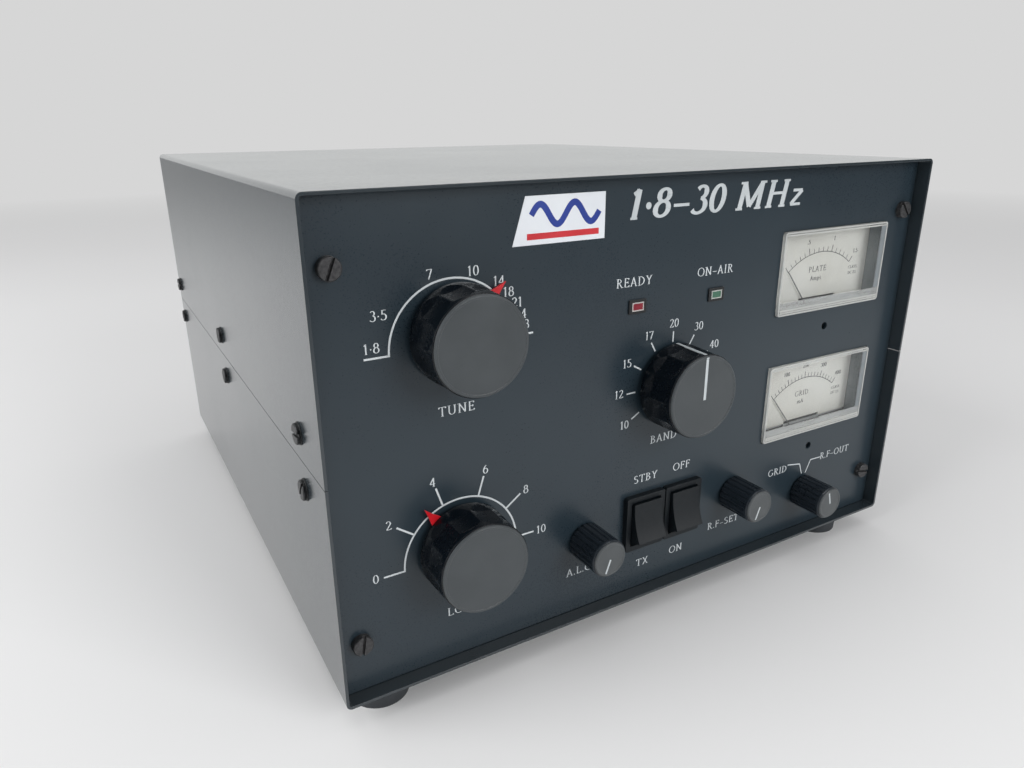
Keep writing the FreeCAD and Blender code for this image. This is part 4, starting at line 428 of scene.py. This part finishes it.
# Each finish as finish_of takes it. Colours are 0 to 255, bump and edge_radius are in millimetres,
# and patch and grain are the scales of noises over metres.
FINISHES = {
    "case_paint": dict(dark=(41, 49, 54), light=(46, 54, 59), rough=0.2, grain=420, bump=0.02, patch=9,
                       detail=1.5, coat=0.5, edge=(72, 78, 82), edge_radius=0.35, edge_amount=0.3),
    "panel_paint": dict(dark=(35, 47, 55), light=(40, 52, 60), rough=0.3, grain=1500, bump=0.003, patch=7,
                        edge=(76, 82, 88), edge_radius=0.3, edge_amount=0.25),
    "chassis_metal": dict(dark=(168, 170, 172), light=(188, 190, 192), rough=0.38, grain=300, bump=0.01,
                          patch=20, stretch=(1, 12, 1), metallic=1.0),
    "black_screw": dict(dark=(44, 44, 46), light=(80, 80, 81), rough=0.4, grain=1400, bump=0.03,
                        patch=900, metallic=0.4, edge=(140, 140, 140), edge_radius=0.2, edge_amount=0.5),
    # Painted shade: a darker copy of black_screw for the screws in the case's sides, whose faces turn to bright
    # surroundings.
    "shaded_cover_screw": dict(dark=(16, 18, 20), light=(46, 48, 50), rough=0.4, grain=1400, bump=0.03,
                              patch=900, metallic=0.4, edge=(110, 112, 113), edge_radius=0.2,
                              edge_amount=0.4),
    "foot_rubber": dict(dark=(44, 48, 52), light=(54, 58, 62), rough=0.7, grain=1600, bump=0.05,
                        patch=120),
    "knob_black": dict(dark=(3, 9, 16), light=(6, 12, 19), rough=0.26, grain=700, bump=0.001, ior=1.42,
                       edge_radius=0.3),
    "small_knob_black": dict(dark=(29, 36, 43), light=(34, 41, 48), rough=0.3, grain=700, bump=0.001,
                             ior=1.42, edge=(52, 58, 64), edge_radius=0.3, edge_amount=0.1),
    "knob_cap_grey": dict(dark=(60, 65, 68), light=(66, 71, 74), rough=0.4, grain=2600, bump=0.003,
                          edge=(120, 124, 125), edge_radius=0.4, edge_amount=0.5),
    "small_cap_grey": dict(dark=(71, 75, 77), light=(79, 83, 85), rough=0.42, grain=2600, bump=0.004,
                           patch=150, edge=(120, 122, 122), edge_radius=0.3, edge_amount=0.4),
    "pointer_red": dict(dark=(196, 22, 34), light=(212, 30, 42), rough=0.35, grain=900, bump=0.01,
                        patch=200, edge=(230, 90, 95), edge_radius=0.2, edge_amount=0.4),
    "switch_black": dict(dark=(6, 15, 21), light=(9, 18, 24), rough=0.5, grain=600, bump=0.001, ior=1.42,
                         edge=(60, 66, 70), edge_radius=0.35, edge_amount=0.2),
    "meter_black": dict(dark=(22, 22, 23), light=(28, 28, 29), rough=0.55, grain=800, bump=0.02,
                        patch=100),
    "dial_white": dict(dark=(226, 222, 210), light=(234, 231, 221), rough=0.6, grain=1500, bump=0.004,
                       patch=25),
    "needle_black": dict(dark=(84, 84, 83), light=(96, 96, 95), rough=0.5, grain=900, bump=0.002,
                         patch=200),
    "lamp_black": dict(dark=(20, 22, 24), light=(28, 30, 32), rough=0.4, grain=900, bump=0.01, patch=200,
                       edge=(90, 94, 98), edge_radius=0.2, edge_amount=0.5),
    "lamp_red": dict(dark=(118, 16, 34), light=(132, 22, 40), rough=0.3, grain=700, bump=0.01, patch=300),
    "lamp_green": dict(dark=(56, 98, 78), light=(66, 108, 88), rough=0.3, grain=700, bump=0.01,
                       patch=300),
    "shaft_steel": dict(dark=(150, 150, 150), light=(176, 176, 176), rough=0.3, grain=500, bump=0.01,
                        patch=80, metallic=1.0),
    "vane_metal": dict(dark=(186, 188, 190), light=(204, 206, 208), rough=0.32, grain=500, bump=0.01,
                       metallic=1.0),
    "nickel": dict(dark=(178, 174, 166), light=(204, 200, 192), rough=0.24, grain=700, bump=0.008,
                   patch=120, metallic=1.0, edge=(232, 230, 224), edge_radius=0.25, edge_amount=0.6),
    "brass_metal": dict(dark=(176, 148, 86), light=(202, 172, 104), rough=0.28, grain=700, bump=0.008,
                        patch=120, metallic=1.0, edge=(232, 212, 160), edge_radius=0.2, edge_amount=0.6),
    "coil_copper": dict(dark=(176, 98, 58), light=(200, 118, 72), rough=0.3, grain=700, bump=0.01,
                        patch=80, metallic=1.0),
    "ceramic": dict(dark=(226, 222, 212), light=(236, 233, 224), rough=0.35, grain=700, bump=0.01),
    "winding_tape": dict(dark=(196, 160, 70), light=(214, 178, 86), rough=0.3, grain=260, bump=0.15,
                         stretch=(1, 1, 6)),
    "board_green": dict(dark=(30, 84, 50), light=(40, 98, 60), rough=0.4, grain=900, bump=0.01),
    "can_sleeve": dict(dark=(28, 36, 66), light=(36, 46, 78), rough=0.3, grain=500, bump=0.01),
    "relay_case": dict(dark=(52, 54, 58), light=(62, 64, 68), rough=0.35, grain=900, bump=0.01),
    "fan_black": dict(dark=(24, 25, 26), light=(32, 33, 34), rough=0.45, grain=900, bump=0.02),
    "connector_black": dict(dark=(24, 25, 26), light=(32, 33, 34), rough=0.4, grain=1200, bump=0.015,
                            patch=80, edge=(96, 98, 100), edge_radius=0.25, edge_amount=0.4),
    "print_white": dict(dark=(208, 214, 217), light=(216, 222, 225), rough=0.5, grain=1800, bump=0.002,
                        patch=90),
    "print_soft": dict(dark=(188, 195, 198), light=(197, 203, 206), rough=0.5, grain=1800, bump=0.002,
                       patch=90),
    "print_black": dict(dark=(40, 40, 42), light=(60, 60, 62), rough=0.5, grain=1800, bump=0.003,
                        patch=90),
    "sticker_white": dict(dark=(222, 226, 232), light=(230, 234, 238), rough=0.4, grain=1200, bump=0.006,
                          patch=30),
    "sticker_blue": dict(dark=(24, 52, 140), light=(30, 60, 152), rough=0.4, grain=1200, bump=0.004),
    "sticker_red": dict(dark=(196, 34, 44), light=(208, 44, 54), rough=0.4, grain=1200, bump=0.004),
}


def build_materials():
    made = {name: finish_of(name, **look) for name, look in FINISHES.items()}
    made["meter_clear"] = clear_window("meter_clear", edge_glint=0.75)
    made["valve_glass"] = clear_window("valve_glass", edge_glint=0.1)
    # Painted light in the three films below: the first is the lamps' pale rims and also the painted highlights on
    # the meter windows, the second a painted glow on a window's foot, the third a painted grey shade on a window's
    # inner wall.
    made["pale_rim_and_glint"] = pale_plastic_and_glint("pale_rim_and_glint", (196, 198, 196), (222, 223, 219), clear=0.35)
    made["painted_foot_glow"] = pale_plastic_and_glint("painted_foot_glow", (176, 180, 180), (226, 228, 225), clear=0.62)
    made["painted_wall_shade"] = pale_plastic_and_glint("painted_wall_shade", (126, 134, 138), (150, 157, 160), clear=0.25)
    return made


OWN_FINISH = {"cover_screws": "shaded_cover_screw", "alc_knob": "small_knob_black",
              "rf_set_knob": "small_knob_black", "meter_select_knob": "small_knob_black"}


def dress_frame(materials):
    """Every node of the frame takes the finish of its slot in the record, or one of its own."""
    slots = {row["node"]: row["material_slot"] for row in frame["record"]["subparts"]}
    for name, obj in frame["nodes"].items():
        obj.data.materials.clear()
        obj.data.materials.append(materials[OWN_FINISH.get(name, slots[name])])


# ---- printed scales and legends ----------------------------------------------------------------
INK = 0.03
LINE_W = 0.8
BAND_TICK_W = 0.7
LEADER_W = 0.6
LABEL_H = 3.9
REAR_LABEL_H = 3.0
TUNE_SCALE = (55.8, 142.0)
LOAD_SCALE = (56.6, 50.9)
BAND_SCALE = (166.0, 106.1)
TITLE = "1·8–30 MHz"
TITLE_AT = (189.0, 183.4)
TITLE_H = 11.9


def label_all(ink, labels):
    """labels is [(words, centre x, centre z)]."""
    for words, x, z in labels:
        ink.text(words, x, z - LABEL_H / 2, LABEL_H)


def print_scales(ink):
    ink.arc(*TUNE_SCALE, radius=25.9, first=180, last=0, width=LINE_W)
    for angle in (180, 0):
        ink.tick(*TUNE_SCALE, r0=25.5, r1=35.5, angle=angle, width=LINE_W)
    label_all(ink, [("1·8", 23.4, 145.8), ("3·5", 26.9, 157.5), ("7", 47.2, 170.2), ("10", 65.0, 169.7),
                    ("14", 75.9, 164.7), ("18", 80.1, 160.0), ("21", 83.9, 155.4), ("24", 85.5, 150.5),
                    ("28", 86.8, 146.0), ("TUNE", 56.3, 116.2)])
    ink.arc(*LOAD_SCALE, radius=26.0, first=180, last=0, width=LINE_W)
    for i in range(6):
        ink.tick(*LOAD_SCALE, r0=25.6, r1=35.0, angle=180 - 36 * i, width=LINE_W)
    label_all(ink, [("0", 18.3, 51.3), ("2", 25.1, 73.4), ("4", 44.5, 87.2), ("6", 68.3, 87.1),
                    ("8", 87.7, 72.8), ("10", 95.5, 51.0), ("LOAD", 56.5, 24.3)])
    for i in range(9):
        ink.tick(*BAND_SCALE, r0=20.5, r1=25.5, angle=210 - 30 * i, width=BAND_TICK_W)
    label_all(ink, [("10", 140.0, 91.3), ("12", 136.2, 106.7), ("15", 140.1, 120.6), ("17", 151.9, 131.7),
                    ("20", 166.1, 135.5), ("30", 181.3, 132.1), ("40", 192.0, 121.8), ("80", 196.2, 106.5),
                    ("160", 193.0, 91.0), ("BAND", 164.0, 80.2)])


def print_legends(ink):
    label_all(ink, [("STBY", 154.3, 61.4), ("OFF", 176.8, 62.1), ("TX", 155.0, 14.7), ("ON", 176.8, 15.3),
                    ("READY", 142.1, 157.0), ("ON–AIR", 189.0, 157.2), ("GRID", 247.5, 41.0),
                    ("R.F–OUT", 294.0, 41.7)])
    for words, x, z in (("A.L.C.", 109.4, 22.8), ("R.F–SET", 198.0, 21.2)):
        ink.text(words, x, z - LABEL_H / 2, LABEL_H, anchor=0)
    for leader in ([(267.7, 34.3), (265.1, 41.0), (255.2, 42.7)],
                   [(270.7, 34.2), (273.9, 41.5), (282.1, 41.3)]):
        for one, other in zip(leader, leader[1:]):
            ink.line(*one, *other, LEADER_W)


def print_panel(materials):
    ink = Print(front, INK)
    print_scales(ink)
    print_legends(ink)
    ink.piece("panel_print", CABINET, materials["print_white"])
    title = Print(front, INK)
    title.text(TITLE, *TITLE_AT, TITLE_H, slant=0.22, weight=1.65, stretch=1.18)
    title.piece("title_print", CABINET, materials["print_soft"])


def print_rear(materials):
    ink = Print(rear, INK)
    for words, x, z in (("R.F–IN", 115.0, 172.5), ("R.F–OUT", 75.0, 172.5), ("RELAY", 119.0, 105.5),
                        ("A.L.C.", 95.0, 105.5), ("AUX", 71.0, 105.5), ("FUSES", 34.0, 104.0),
                        ("EARTH", 86.0, 44.0)):
        ink.text(words, x, z, REAR_LABEL_H)
    ink.piece("rear_print", CABINET, materials["print_white"])


# ---- sticker -----------------------------------------------------------------------------------
STICKER_X = (81.9, 125.3)
STICKER_Z = (176.9, 195.5)
STICKER_LEAN = 5.8
STICKER_T = 0.12
STICKER_INK = 0.15
MARK_IN = (8.5, 3.0)
WAVE_MIDDLE = 11.3
WAVE_HEIGHT = 4.0
WAVE_WIDTH = 2.6
WAVE_STEPS = 72
BAR_ABOVE = 3.2
BAR_WIDTH = 2.4
BAR_LONGER = 2.0


def sticker(materials):
    """A plain sticker with a slanted left edge, a wave and a bar."""
    x0, x1 = STICKER_X
    z0, z1 = STICKER_Z
    film = Print(front, STICKER_T)
    film.polygon([(x0, z0), (x1, z0), (x1, z1), (x0 + STICKER_LEAN, z1)])
    film.piece("sticker_film", CABINET, materials["sticker_white"])
    left, right = x0 + MARK_IN[0], x1 - MARK_IN[1]
    wave = []
    for i in range(WAVE_STEPS + 1):
        share = i / WAVE_STEPS
        swing = math.sin(4 * math.pi * share)
        wave.append((left + (right - left) * share, z0 + WAVE_MIDDLE + WAVE_HEIGHT * swing))
    blue = Print(front, STICKER_INK)
    blue.stroke(wave, WAVE_WIDTH)
    blue.piece("sticker_wave", CABINET, materials["sticker_blue"])
    red = Print(front, STICKER_INK)
    red.line(left - BAR_LONGER, z0 + BAR_ABOVE, right, z0 + BAR_ABOVE, BAR_WIDTH)
    red.piece("sticker_bar", CABINET, materials["sticker_red"])


# ---- lamps -------------------------------------------------------------------------------------
LAMP_RIM = 0.55


def lamp_rims(materials):
    """The pale border moulded round each lamp's coloured face."""
    for node in ("ready_lamp", "on_air_lamp"):
        x0, x1 = low(node).x - LEFT, high(node).x - LEFT
        z0, z1 = low(node).z - CASE_LOW, high(node).z - CASE_LOW
        face = PANEL_Y - low(node).y

        def place(u, v, out):
            return front(u, v, face + out)

        ink = Print(place, INK)
        for z in (z0 + LAMP_RIM / 2, z1 - LAMP_RIM / 2):
            ink.line(x0, z, x1, z, LAMP_RIM)
        for x in (x0 + LAMP_RIM / 2, x1 - LAMP_RIM / 2):
            ink.line(x, z0 + LAMP_RIM, x, z1 - LAMP_RIM, LAMP_RIM)
        ink.piece(node + "_rim", CABINET, materials["pale_rim_and_glint"])


# ---- index lines on the knobs ------------------------------------------------------------------
# SIDE_LINE is [(radius, distance ahead of the panel)] from the skirt over its edge to the nose.
SIDE_LINE = ((19.72, 2.3), (20.0, 2.65), (19.4, 21.1))
SIDE_LINE_PROUD = 0.06
SIDE_LINE_SUNK = 0.5
CAP_DISH = 0.12
BIG_LINE_W = 1.5
SMALL_LINE_W = 0.9
SMALL_LINE_R = 7.6


def side_line(materials, knob, body, width):
    """A white line from the skirt to the nose along the top of a big knob, on a rib between flutes."""
    at = middle(knob)
    half = width / 2
    mesh = bmesh.new()
    rows = []
    for radius, ahead in SIDE_LINE:
        upper, lower = radius + SIDE_LINE_PROUD, radius - SIDE_LINE_SUNK
        corners = ((-half, upper), (half, upper), (half, lower), (-half, lower))
        rows.append([mesh.verts.new(Vector((at.x + v, PANEL_Y - ahead, at.z + r)) * MM) for v, r in corners])
    skin(mesh, rows)
    bmesh.ops.recalc_face_normals(mesh, faces=mesh.faces)
    mesh_piece(knob + "_side_line", mesh, body, materials["print_soft"])


def cap_line(materials, knob, body, angle, r0, r1, width, dish=CAP_DISH, name="_line"):
    """A white radial line on a knob's cap, whose face is dished."""
    at, face = middle(knob + "_cap"), low(knob + "_cap").y + dish
    c, s = math.cos(math.radians(angle)), math.sin(math.radians(angle))

    def place(u, v, out):
        return Vector((at.x + u * c - v * s, face - out, at.z + u * s + v * c)) * MM

    ink = Print(place, INK)
    ink.line(r0, 0, r1, 0, width)
    ink.piece(knob + name, body, materials["print_soft"])


def knob_lines(materials):
    cap_line(materials, "band_knob", "band_control", angle=90, r0=-1.2, r1=17.6, width=BIG_LINE_W)
    cap_line(materials, "band_knob", "band_control", angle=90, r0=17.75, r1=18.45, width=BIG_LINE_W,
             dish=0, name="_rim_line")
    side_line(materials, "band_knob", "band_control", width=1.6)
    for knob, body, angle in (("alc_knob", "alc_control", 250), ("rf_set_knob", "rf_set_control", 250),
                              ("meter_select_knob", "meter_select_control", 105)):
        cap_line(materials, knob, body, angle, r0=0.0, r1=SMALL_LINE_R, width=SMALL_LINE_W)


# ---- meters ------------------------------------------------------------------------------------
# Radii and offsets are from the needle's pivot. METERS is node: (name, unit, [(number, angle)]).
SCALE_R = 37.7
SCALE_LINE_W = 0.38
SMALL_TICK = dict(r1=40.1, width=0.34)
BIG_TICK = dict(r1=41.2, width=0.42)
NUMBER_R = 44.6
NUMBER_DROP = 1.0
NUMBER_H = 2.2
TICKS_PER_NUMBER = 5
DIAL_INK = 0.01
NAME_AT = (-2.0, 27.6)
UNIT_AT = (-2.5, 23.2)
CLASS_AT = (26.0, 26.6)
GRADE_AT = (26.0, 23.6)
SMALL_PRINT_H = 1.5
METERS = {
    "plate_needle": ("PLATE", "Amps", [("0", 129.5), (".5", 104.2), ("1", 78.9), ("1.5", 53.6)]),
    "grid_needle": ("GRID", "mA", [("0", 129.5), ("100", 110.5), ("200", 91.5), ("300", 72.5),
                                   ("400", 53.5)]),
}


def pivot_of(needle):
    """(from the case's left face, above its underside) of a needle's pivot: its hinge's place."""
    for joint in frame["joints"]:
        if needle in frame["record"]["behaviour"]["bodies"][joint["child"]]:
            x, _, z = joint["pos_m"]
            return x / MM - LEFT, z / MM - CASE_LOW
    raise ValueError(needle)


def meter_scale(ink, cx, pivot_z, numbers):
    """The arc, its ticks and numbers; numbers is [(words, angle)] at even steps."""
    first, last = numbers[0][1], numbers[-1][1]
    ink.arc(cx, pivot_z, SCALE_R, first, last, SCALE_LINE_W)
    count = TICKS_PER_NUMBER * (len(numbers) - 1)
    for i in range(count + 1):
        angle = first + (last - first) * i / count
        kind = SMALL_TICK if i % TICKS_PER_NUMBER else BIG_TICK
        ink.tick(cx, pivot_z, SCALE_R, angle=angle, **kind)
    for words, angle in numbers[1:]:
        a = math.radians(angle)
        x, z = cx + NUMBER_R * math.cos(a), pivot_z + NUMBER_R * math.sin(a) - NUMBER_DROP
        ink.text(words, x, z, NUMBER_H, weight=1.4)


def meter_print(materials):
    ink = Print(dial, DIAL_INK)
    for node, (name, unit, numbers) in METERS.items():
        x, z = pivot_of(node)
        meter_scale(ink, x, z, numbers)
        for words, (right, up), height, weight in ((name, NAME_AT, 2.9, 1.1), (unit, UNIT_AT, 2.3, 1.3),
                                                   ("CLASS", CLASS_AT, SMALL_PRINT_H, 1.6),
                                                   ("DC 2.5", GRADE_AT, SMALL_PRINT_H, 1.6)):
            ink.text(words, x + right, z + up, height, weight=weight)
    ink.piece("meter_print", CABINET, materials["print_black"])


# The windows' mouldings: sizes as in the part's source, and the films painted on as the light and
# shade that their edges catch. A pair of numbers is how far a film's two sides lie from the edge, wall
# or dial that it belongs to; SLOT_BACK lies behind the dial and SLOT_FRONT ahead of it.
METER_HALF = (38.5, 20.75)
METER_PIVOT_BELOW = 30.4
LENS_WALL = 2.0
LENS_CORNER = 1.5
SLOT_HALF = 14.0
NEEDLE_ROOM = 1.7
FILM = 0.06
FILM_GAP = 0.05
FILM_END = 0.1
SLOT_BACK = (0.9, 1.0)
SLOT_BACK_H = 1.8
SLOT_FRONT = (0.1, 0.04)
SLOT_FRONT_LAP = 0.3
SLOT_FRONT_TOP = 3.6
STEP_IN = 1.2
FOOT_STEPS = ((1.15, 2.05), (2.2, 3.2))
TOP_STEP = (2.0, 1.25)
GLOW_STEP = (3.3, 7.0)
RIM_IN = 0.5
RIM_W = 0.8
RIM_CORNER = 1.1
SKIN_OUT = 0.02
SKIN_T = 0.04
WALL_FILM = (0.15, 0.05)
WALL_FILM_END = 0.3
WALL_FRONT_X = (4.8, 1.25)
WALL_FRONT_Z = (7.1, 2.1)


def add_block(mesh, x0, x1, y0, y1, z0, z1):
    """An upright block added to a bmesh, from its faces' places in millimetres."""
    size = Vector((x1 - x0, y1 - y0, z1 - z0)) * MM
    centre = Vector((x0 + x1, y0 + y1, z0 + z1)) * MM / 2
    matrix = Matrix.Translation(centre) @ Matrix.Diagonal((*size, 1))
    bmesh.ops.create_cube(mesh, size=1, matrix=matrix)


def face_film(mesh, x0, x1, z0, z1):
    """A thin film on the windows' outer faces."""
    add_block(mesh, x0, x1, LENS_Y - FILM, LENS_Y, z0, z1)


def rounded_band(mesh, window, out, y0, y1, width, corner):
    """A band from y0 back to y1 round a window (left, right, foot, top), out millimetres beyond it."""
    left, right, foot, top = window
    x0, x1 = left - out + corner, right + out - corner
    z0, z1 = foot - out + corner, top + out - corner
    inner, outer = corner - width / 2, corner + width / 2
    rows = []
    for cx, cz, first in ((x1, z1, 0), (x0, z1, 90), (x0, z0, 180), (x1, z0, 270)):
        for turn in range(0, 91, 15):
            a = math.radians(first + turn)
            c, s = math.cos(a), math.sin(a)
            corners = ((inner, y0), (inner, y1), (outer, y1), (outer, y0))
            rows.append([mesh.verts.new(Vector((cx + r * c, y, cz + r * s)) * MM) for r, y in corners])
    skin(mesh, rows, closed=True)
    bmesh.ops.recalc_face_normals(mesh, faces=mesh.faces)


def lit_foot_films(mesh, x, left, right, foot):
    """The floor inside a window as a painted highlight, pale films where it catches the light, with the slot that
    its needle's arm goes through.
    """
    slot_left, slot_right = x - SLOT_HALF, x + SLOT_HALF
    near, far = LENS_Y + LENS_WALL + FILM_END, DIAL_Y - FILM_END
    floor = foot + LENS_WALL + FILM_GAP
    for x0, x1 in ((left + LENS_WALL, slot_left), (slot_right, right - LENS_WALL)):
        add_block(mesh, x0, x1, near, far, floor, floor + FILM)
        add_block(mesh, x0, x1, DIAL_Y + SLOT_BACK[0], DIAL_Y + SLOT_BACK[1], floor, floor + SLOT_BACK_H)
    add_block(mesh, slot_left, slot_right, near, DIAL_Y - NEEDLE_ROOM, floor, floor + FILM)
    add_block(mesh, slot_left - SLOT_FRONT_LAP, slot_right + SLOT_FRONT_LAP,
              DIAL_Y - SLOT_FRONT[0], DIAL_Y - SLOT_FRONT[1], floor, foot + SLOT_FRONT_TOP)


def meter_painted_glints(materials):
    """Painted highlights where the windows' clear mouldings catch the light: their foot, their rims and one inner
    wall, the wall's film a painted grey shade with glints.
    """
    half_w, half_h = METER_HALF
    light, grey, haze = bmesh.new(), bmesh.new(), bmesh.new()
    for node in METERS:
        u, pivot_z = pivot_of(node)
        x, z = LEFT + u, CASE_LOW + pivot_z + METER_PIVOT_BELOW
        left, right, foot, top = x - half_w, x + half_w, z - half_h, z + half_h
        lit_foot_films(light, x, left, right, foot)
        # Painted highlights on the face's steps at the foot and the top.
        for lower, upper in FOOT_STEPS:
            face_film(light, left + STEP_IN, right - STEP_IN, foot + lower, foot + upper)
        face_film(light, left + STEP_IN, right - STEP_IN, top - TOP_STEP[0], top - TOP_STEP[1])
        window = (left, right, foot, top)
        # Painted highlights: a pale rim round each window's face, and a thin skin round its outer walls.
        rounded_band(light, window, -RIM_IN, LENS_Y - FILM, LENS_Y, RIM_W, RIM_CORNER)
        rounded_band(light, window, SKIN_OUT, LENS_Y + FILM_END, PANEL_Y - FILM_GAP, SKIN_T,
                     LENS_CORNER + SKIN_OUT)
        # Painted glow: a milky band across the face above the foot, as if lit from within.
        face_film(haze, left + STEP_IN, right - STEP_IN, foot + GLOW_STEP[0], foot + GLOW_STEP[1])
        # Painted shade: a grey film with paler streaks on the right inner wall and on the face ahead of it.
        add_block(grey, right - LENS_WALL - WALL_FILM[0], right - LENS_WALL - WALL_FILM[1],
                  LENS_Y + LENS_WALL + FILM_END, DIAL_Y - FILM_END,
                  foot + LENS_WALL + WALL_FILM_END, top - LENS_WALL - WALL_FILM_END)
        face_film(grey, right - WALL_FRONT_X[0], right - WALL_FRONT_X[1],
                  foot + WALL_FRONT_Z[0], top - WALL_FRONT_Z[1])
    mesh_piece("meter_painted_glints", light, CABINET, materials["pale_rim_and_glint"])
    mesh_piece("meter_wall_shade", grey, CABINET, materials["painted_wall_shade"])
    mesh_piece("meter_foot_glow", haze, CABINET, materials["painted_foot_glow"])


# ---- stage -------------------------------------------------------------------------------------
# In metres. The fades are pairs of distances, or for ROOM_FADE of a direction's Y, between which a
# tone changes into another.
FLOOR_R = 30.0
FLOOR_TONES = (rgb(235, 235, 235), rgb(238, 238, 238))
FLOOR_DIM = (-0.45, -1.1)
FLOOR_BLEND = (0.8, 2.6)
FLOOR_FADE = (0.4, 1.4)
FLOOR_FAR = (0.72, 0.727, 0.727, 1)
ROOM_DARK = (0.10, 0.10, 0.105, 1)
ROOM_FADE = (-0.55, -0.2)
STUDIO_LIGHT = (0.46, 0.46, 0.465, 1)
STUDIO_GLOSS = (0.79, 0.80, 0.797, 1)
STUDIO_WALL = rgb(214, 214, 214)


def pale_floor():
    """A wide pale floor that runs on to the plain backdrop; reflections see it darker in front."""
    mesh = bmesh.new()
    bmesh.ops.create_circle(mesh, cap_ends=True, segments=96, radius=FLOOR_R)
    data = bpy.data.meshes.new("floor")
    mesh.to_mesh(data)
    mesh.free()
    n = material_nodes("floor_paper")
    place = n.texture["Object"]
    ray = n.add("ShaderNodeLightPath").outputs
    away = n.add("ShaderNodeVectorMath", {0: place}, operation="LENGTH").outputs["Value"]
    depth = n.add("ShaderNodeSeparateXYZ", {0: place}).outputs["Y"]
    colour = n.mix(n.ramp(n.noise(1.2, detail=2.0), *WIDE_SPAN), *FLOOR_TONES)
    far = n.math("MULTIPLY", n.ramp(away, *FLOOR_FADE), ray["Is Glossy Ray"])
    colour = n.mix(far, colour, FLOOR_FAR)
    ahead = n.math("MULTIPLY", n.ramp(depth, *FLOOR_DIM), ray["Is Glossy Ray"])
    colour = n.mix(ahead, colour, ROOM_DARK)
    blend = n.math("MULTIPLY", n.ramp(away, *FLOOR_BLEND), ray["Is Camera Ray"])
    paper = n.add("ShaderNodeBsdfDiffuse", {"Color": colour}).outputs[0]
    wall = n.add("ShaderNodeEmission", {"Color": STUDIO_WALL, "Strength": 1.0}).outputs[0]
    data.materials.append(n.surface(n.mix_shader(blend, paper, wall)))
    obj = bpy.data.objects.new("floor", data)
    bpy.context.scene.collection.objects.link(obj)


def area_light(name, place, aim, size, power):
    data = bpy.data.lights.new(name, "AREA")
    data.shape = "SQUARE"
    data.size = size
    data.energy = power
    obj = bpy.data.objects.new(name, data)
    obj.location = place
    obj.rotation_mode = "QUATERNION"
    obj.rotation_quaternion = (Vector(aim) - Vector(place)).to_track_quat("-Z", "Y")
    bpy.context.scene.collection.objects.link(obj)


def studio_world():
    """A light tent; reflections see it bright with a dark front, the camera sees a plain wall."""
    n = Nodes(bpy.data.worlds.new("studio"), "ShaderNodeOutputWorld")
    ray = n.add("ShaderNodeLightPath").outputs
    depth = n.add("ShaderNodeSeparateXYZ", {0: n.texture["Generated"]}).outputs["Y"]
    gloss = n.mix(n.ramp(depth, *ROOM_FADE, start=1.0, end=0.0), STUDIO_GLOSS, ROOM_DARK)
    shader = n.add("ShaderNodeBackground", {"Color": STUDIO_LIGHT}).outputs[0]
    for kind, colour in (("Is Glossy Ray", gloss), ("Is Camera Ray", STUDIO_WALL)):
        seen = n.add("ShaderNodeBackground", {"Color": colour}).outputs[0]
        shader = n.mix_shader(ray[kind], shader, seen)
    bpy.context.scene.world = n.surface(shader)


def light_scene():
    studio_world()
    area_light("tent_top", place=(-0.1, 0.0, 1.7), aim=(0, 0, 0), size=1.6, power=4.0)
    area_light("tent_front", place=(0.6, -1.8, 0.85), aim=(0.05, -0.2, 0.1), size=1.0, power=18.0)
    area_light("tent_left", place=(-1.8, 0.15, 1.0), aim=(-0.2, 0.15, 0), size=1.6, power=25.0)


# Camera, as fitted to the case's edges: place and aim from the case's front left lower corner.
CAMERA_AT = Vector((-60.53, -240.29, 222.25))
CAMERA_AIM = Vector((77.30, 0.0, 124.69))
CAMERA_ROLL = -0.53
CAMERA_LENS = 26.27
CAMERA_SENSOR = 36.0
CAMERA_NEAR = 0.01


def add_camera():
    corner = Vector((LEFT, CASE_FRONT, CASE_LOW))
    ahead = (CAMERA_AIM - CAMERA_AT).normalized()
    level = ahead.cross(Vector((0, 0, 1))).normalized()
    above = level.cross(ahead)
    c, s = math.cos(math.radians(CAMERA_ROLL)), math.sin(math.radians(CAMERA_ROLL))
    right = level * c + above * s
    up = above * c - level * s
    turn = Matrix((right, up, -ahead)).transposed().to_4x4()
    data = bpy.data.cameras.new("camera")
    data.sensor_width = CAMERA_SENSOR
    data.lens = CAMERA_LENS
    data.clip_start = CAMERA_NEAR
    obj = bpy.data.objects.new("camera", data)
    obj.matrix_world = Matrix.Translation((corner + CAMERA_AT) * MM) @ turn
    bpy.context.scene.collection.objects.link(obj)
    bpy.context.scene.camera = obj


bpy.context.scene.view_settings.view_transform = "Standard"
finishes = build_materials()
dress_frame(finishes)
print_panel(finishes)
print_rear(finishes)
sticker(finishes)
lamp_rims(finishes)
knob_lines(finishes)
meter_print(finishes)
meter_painted_glints(finishes)
pale_floor()
light_scene()
add_camera()
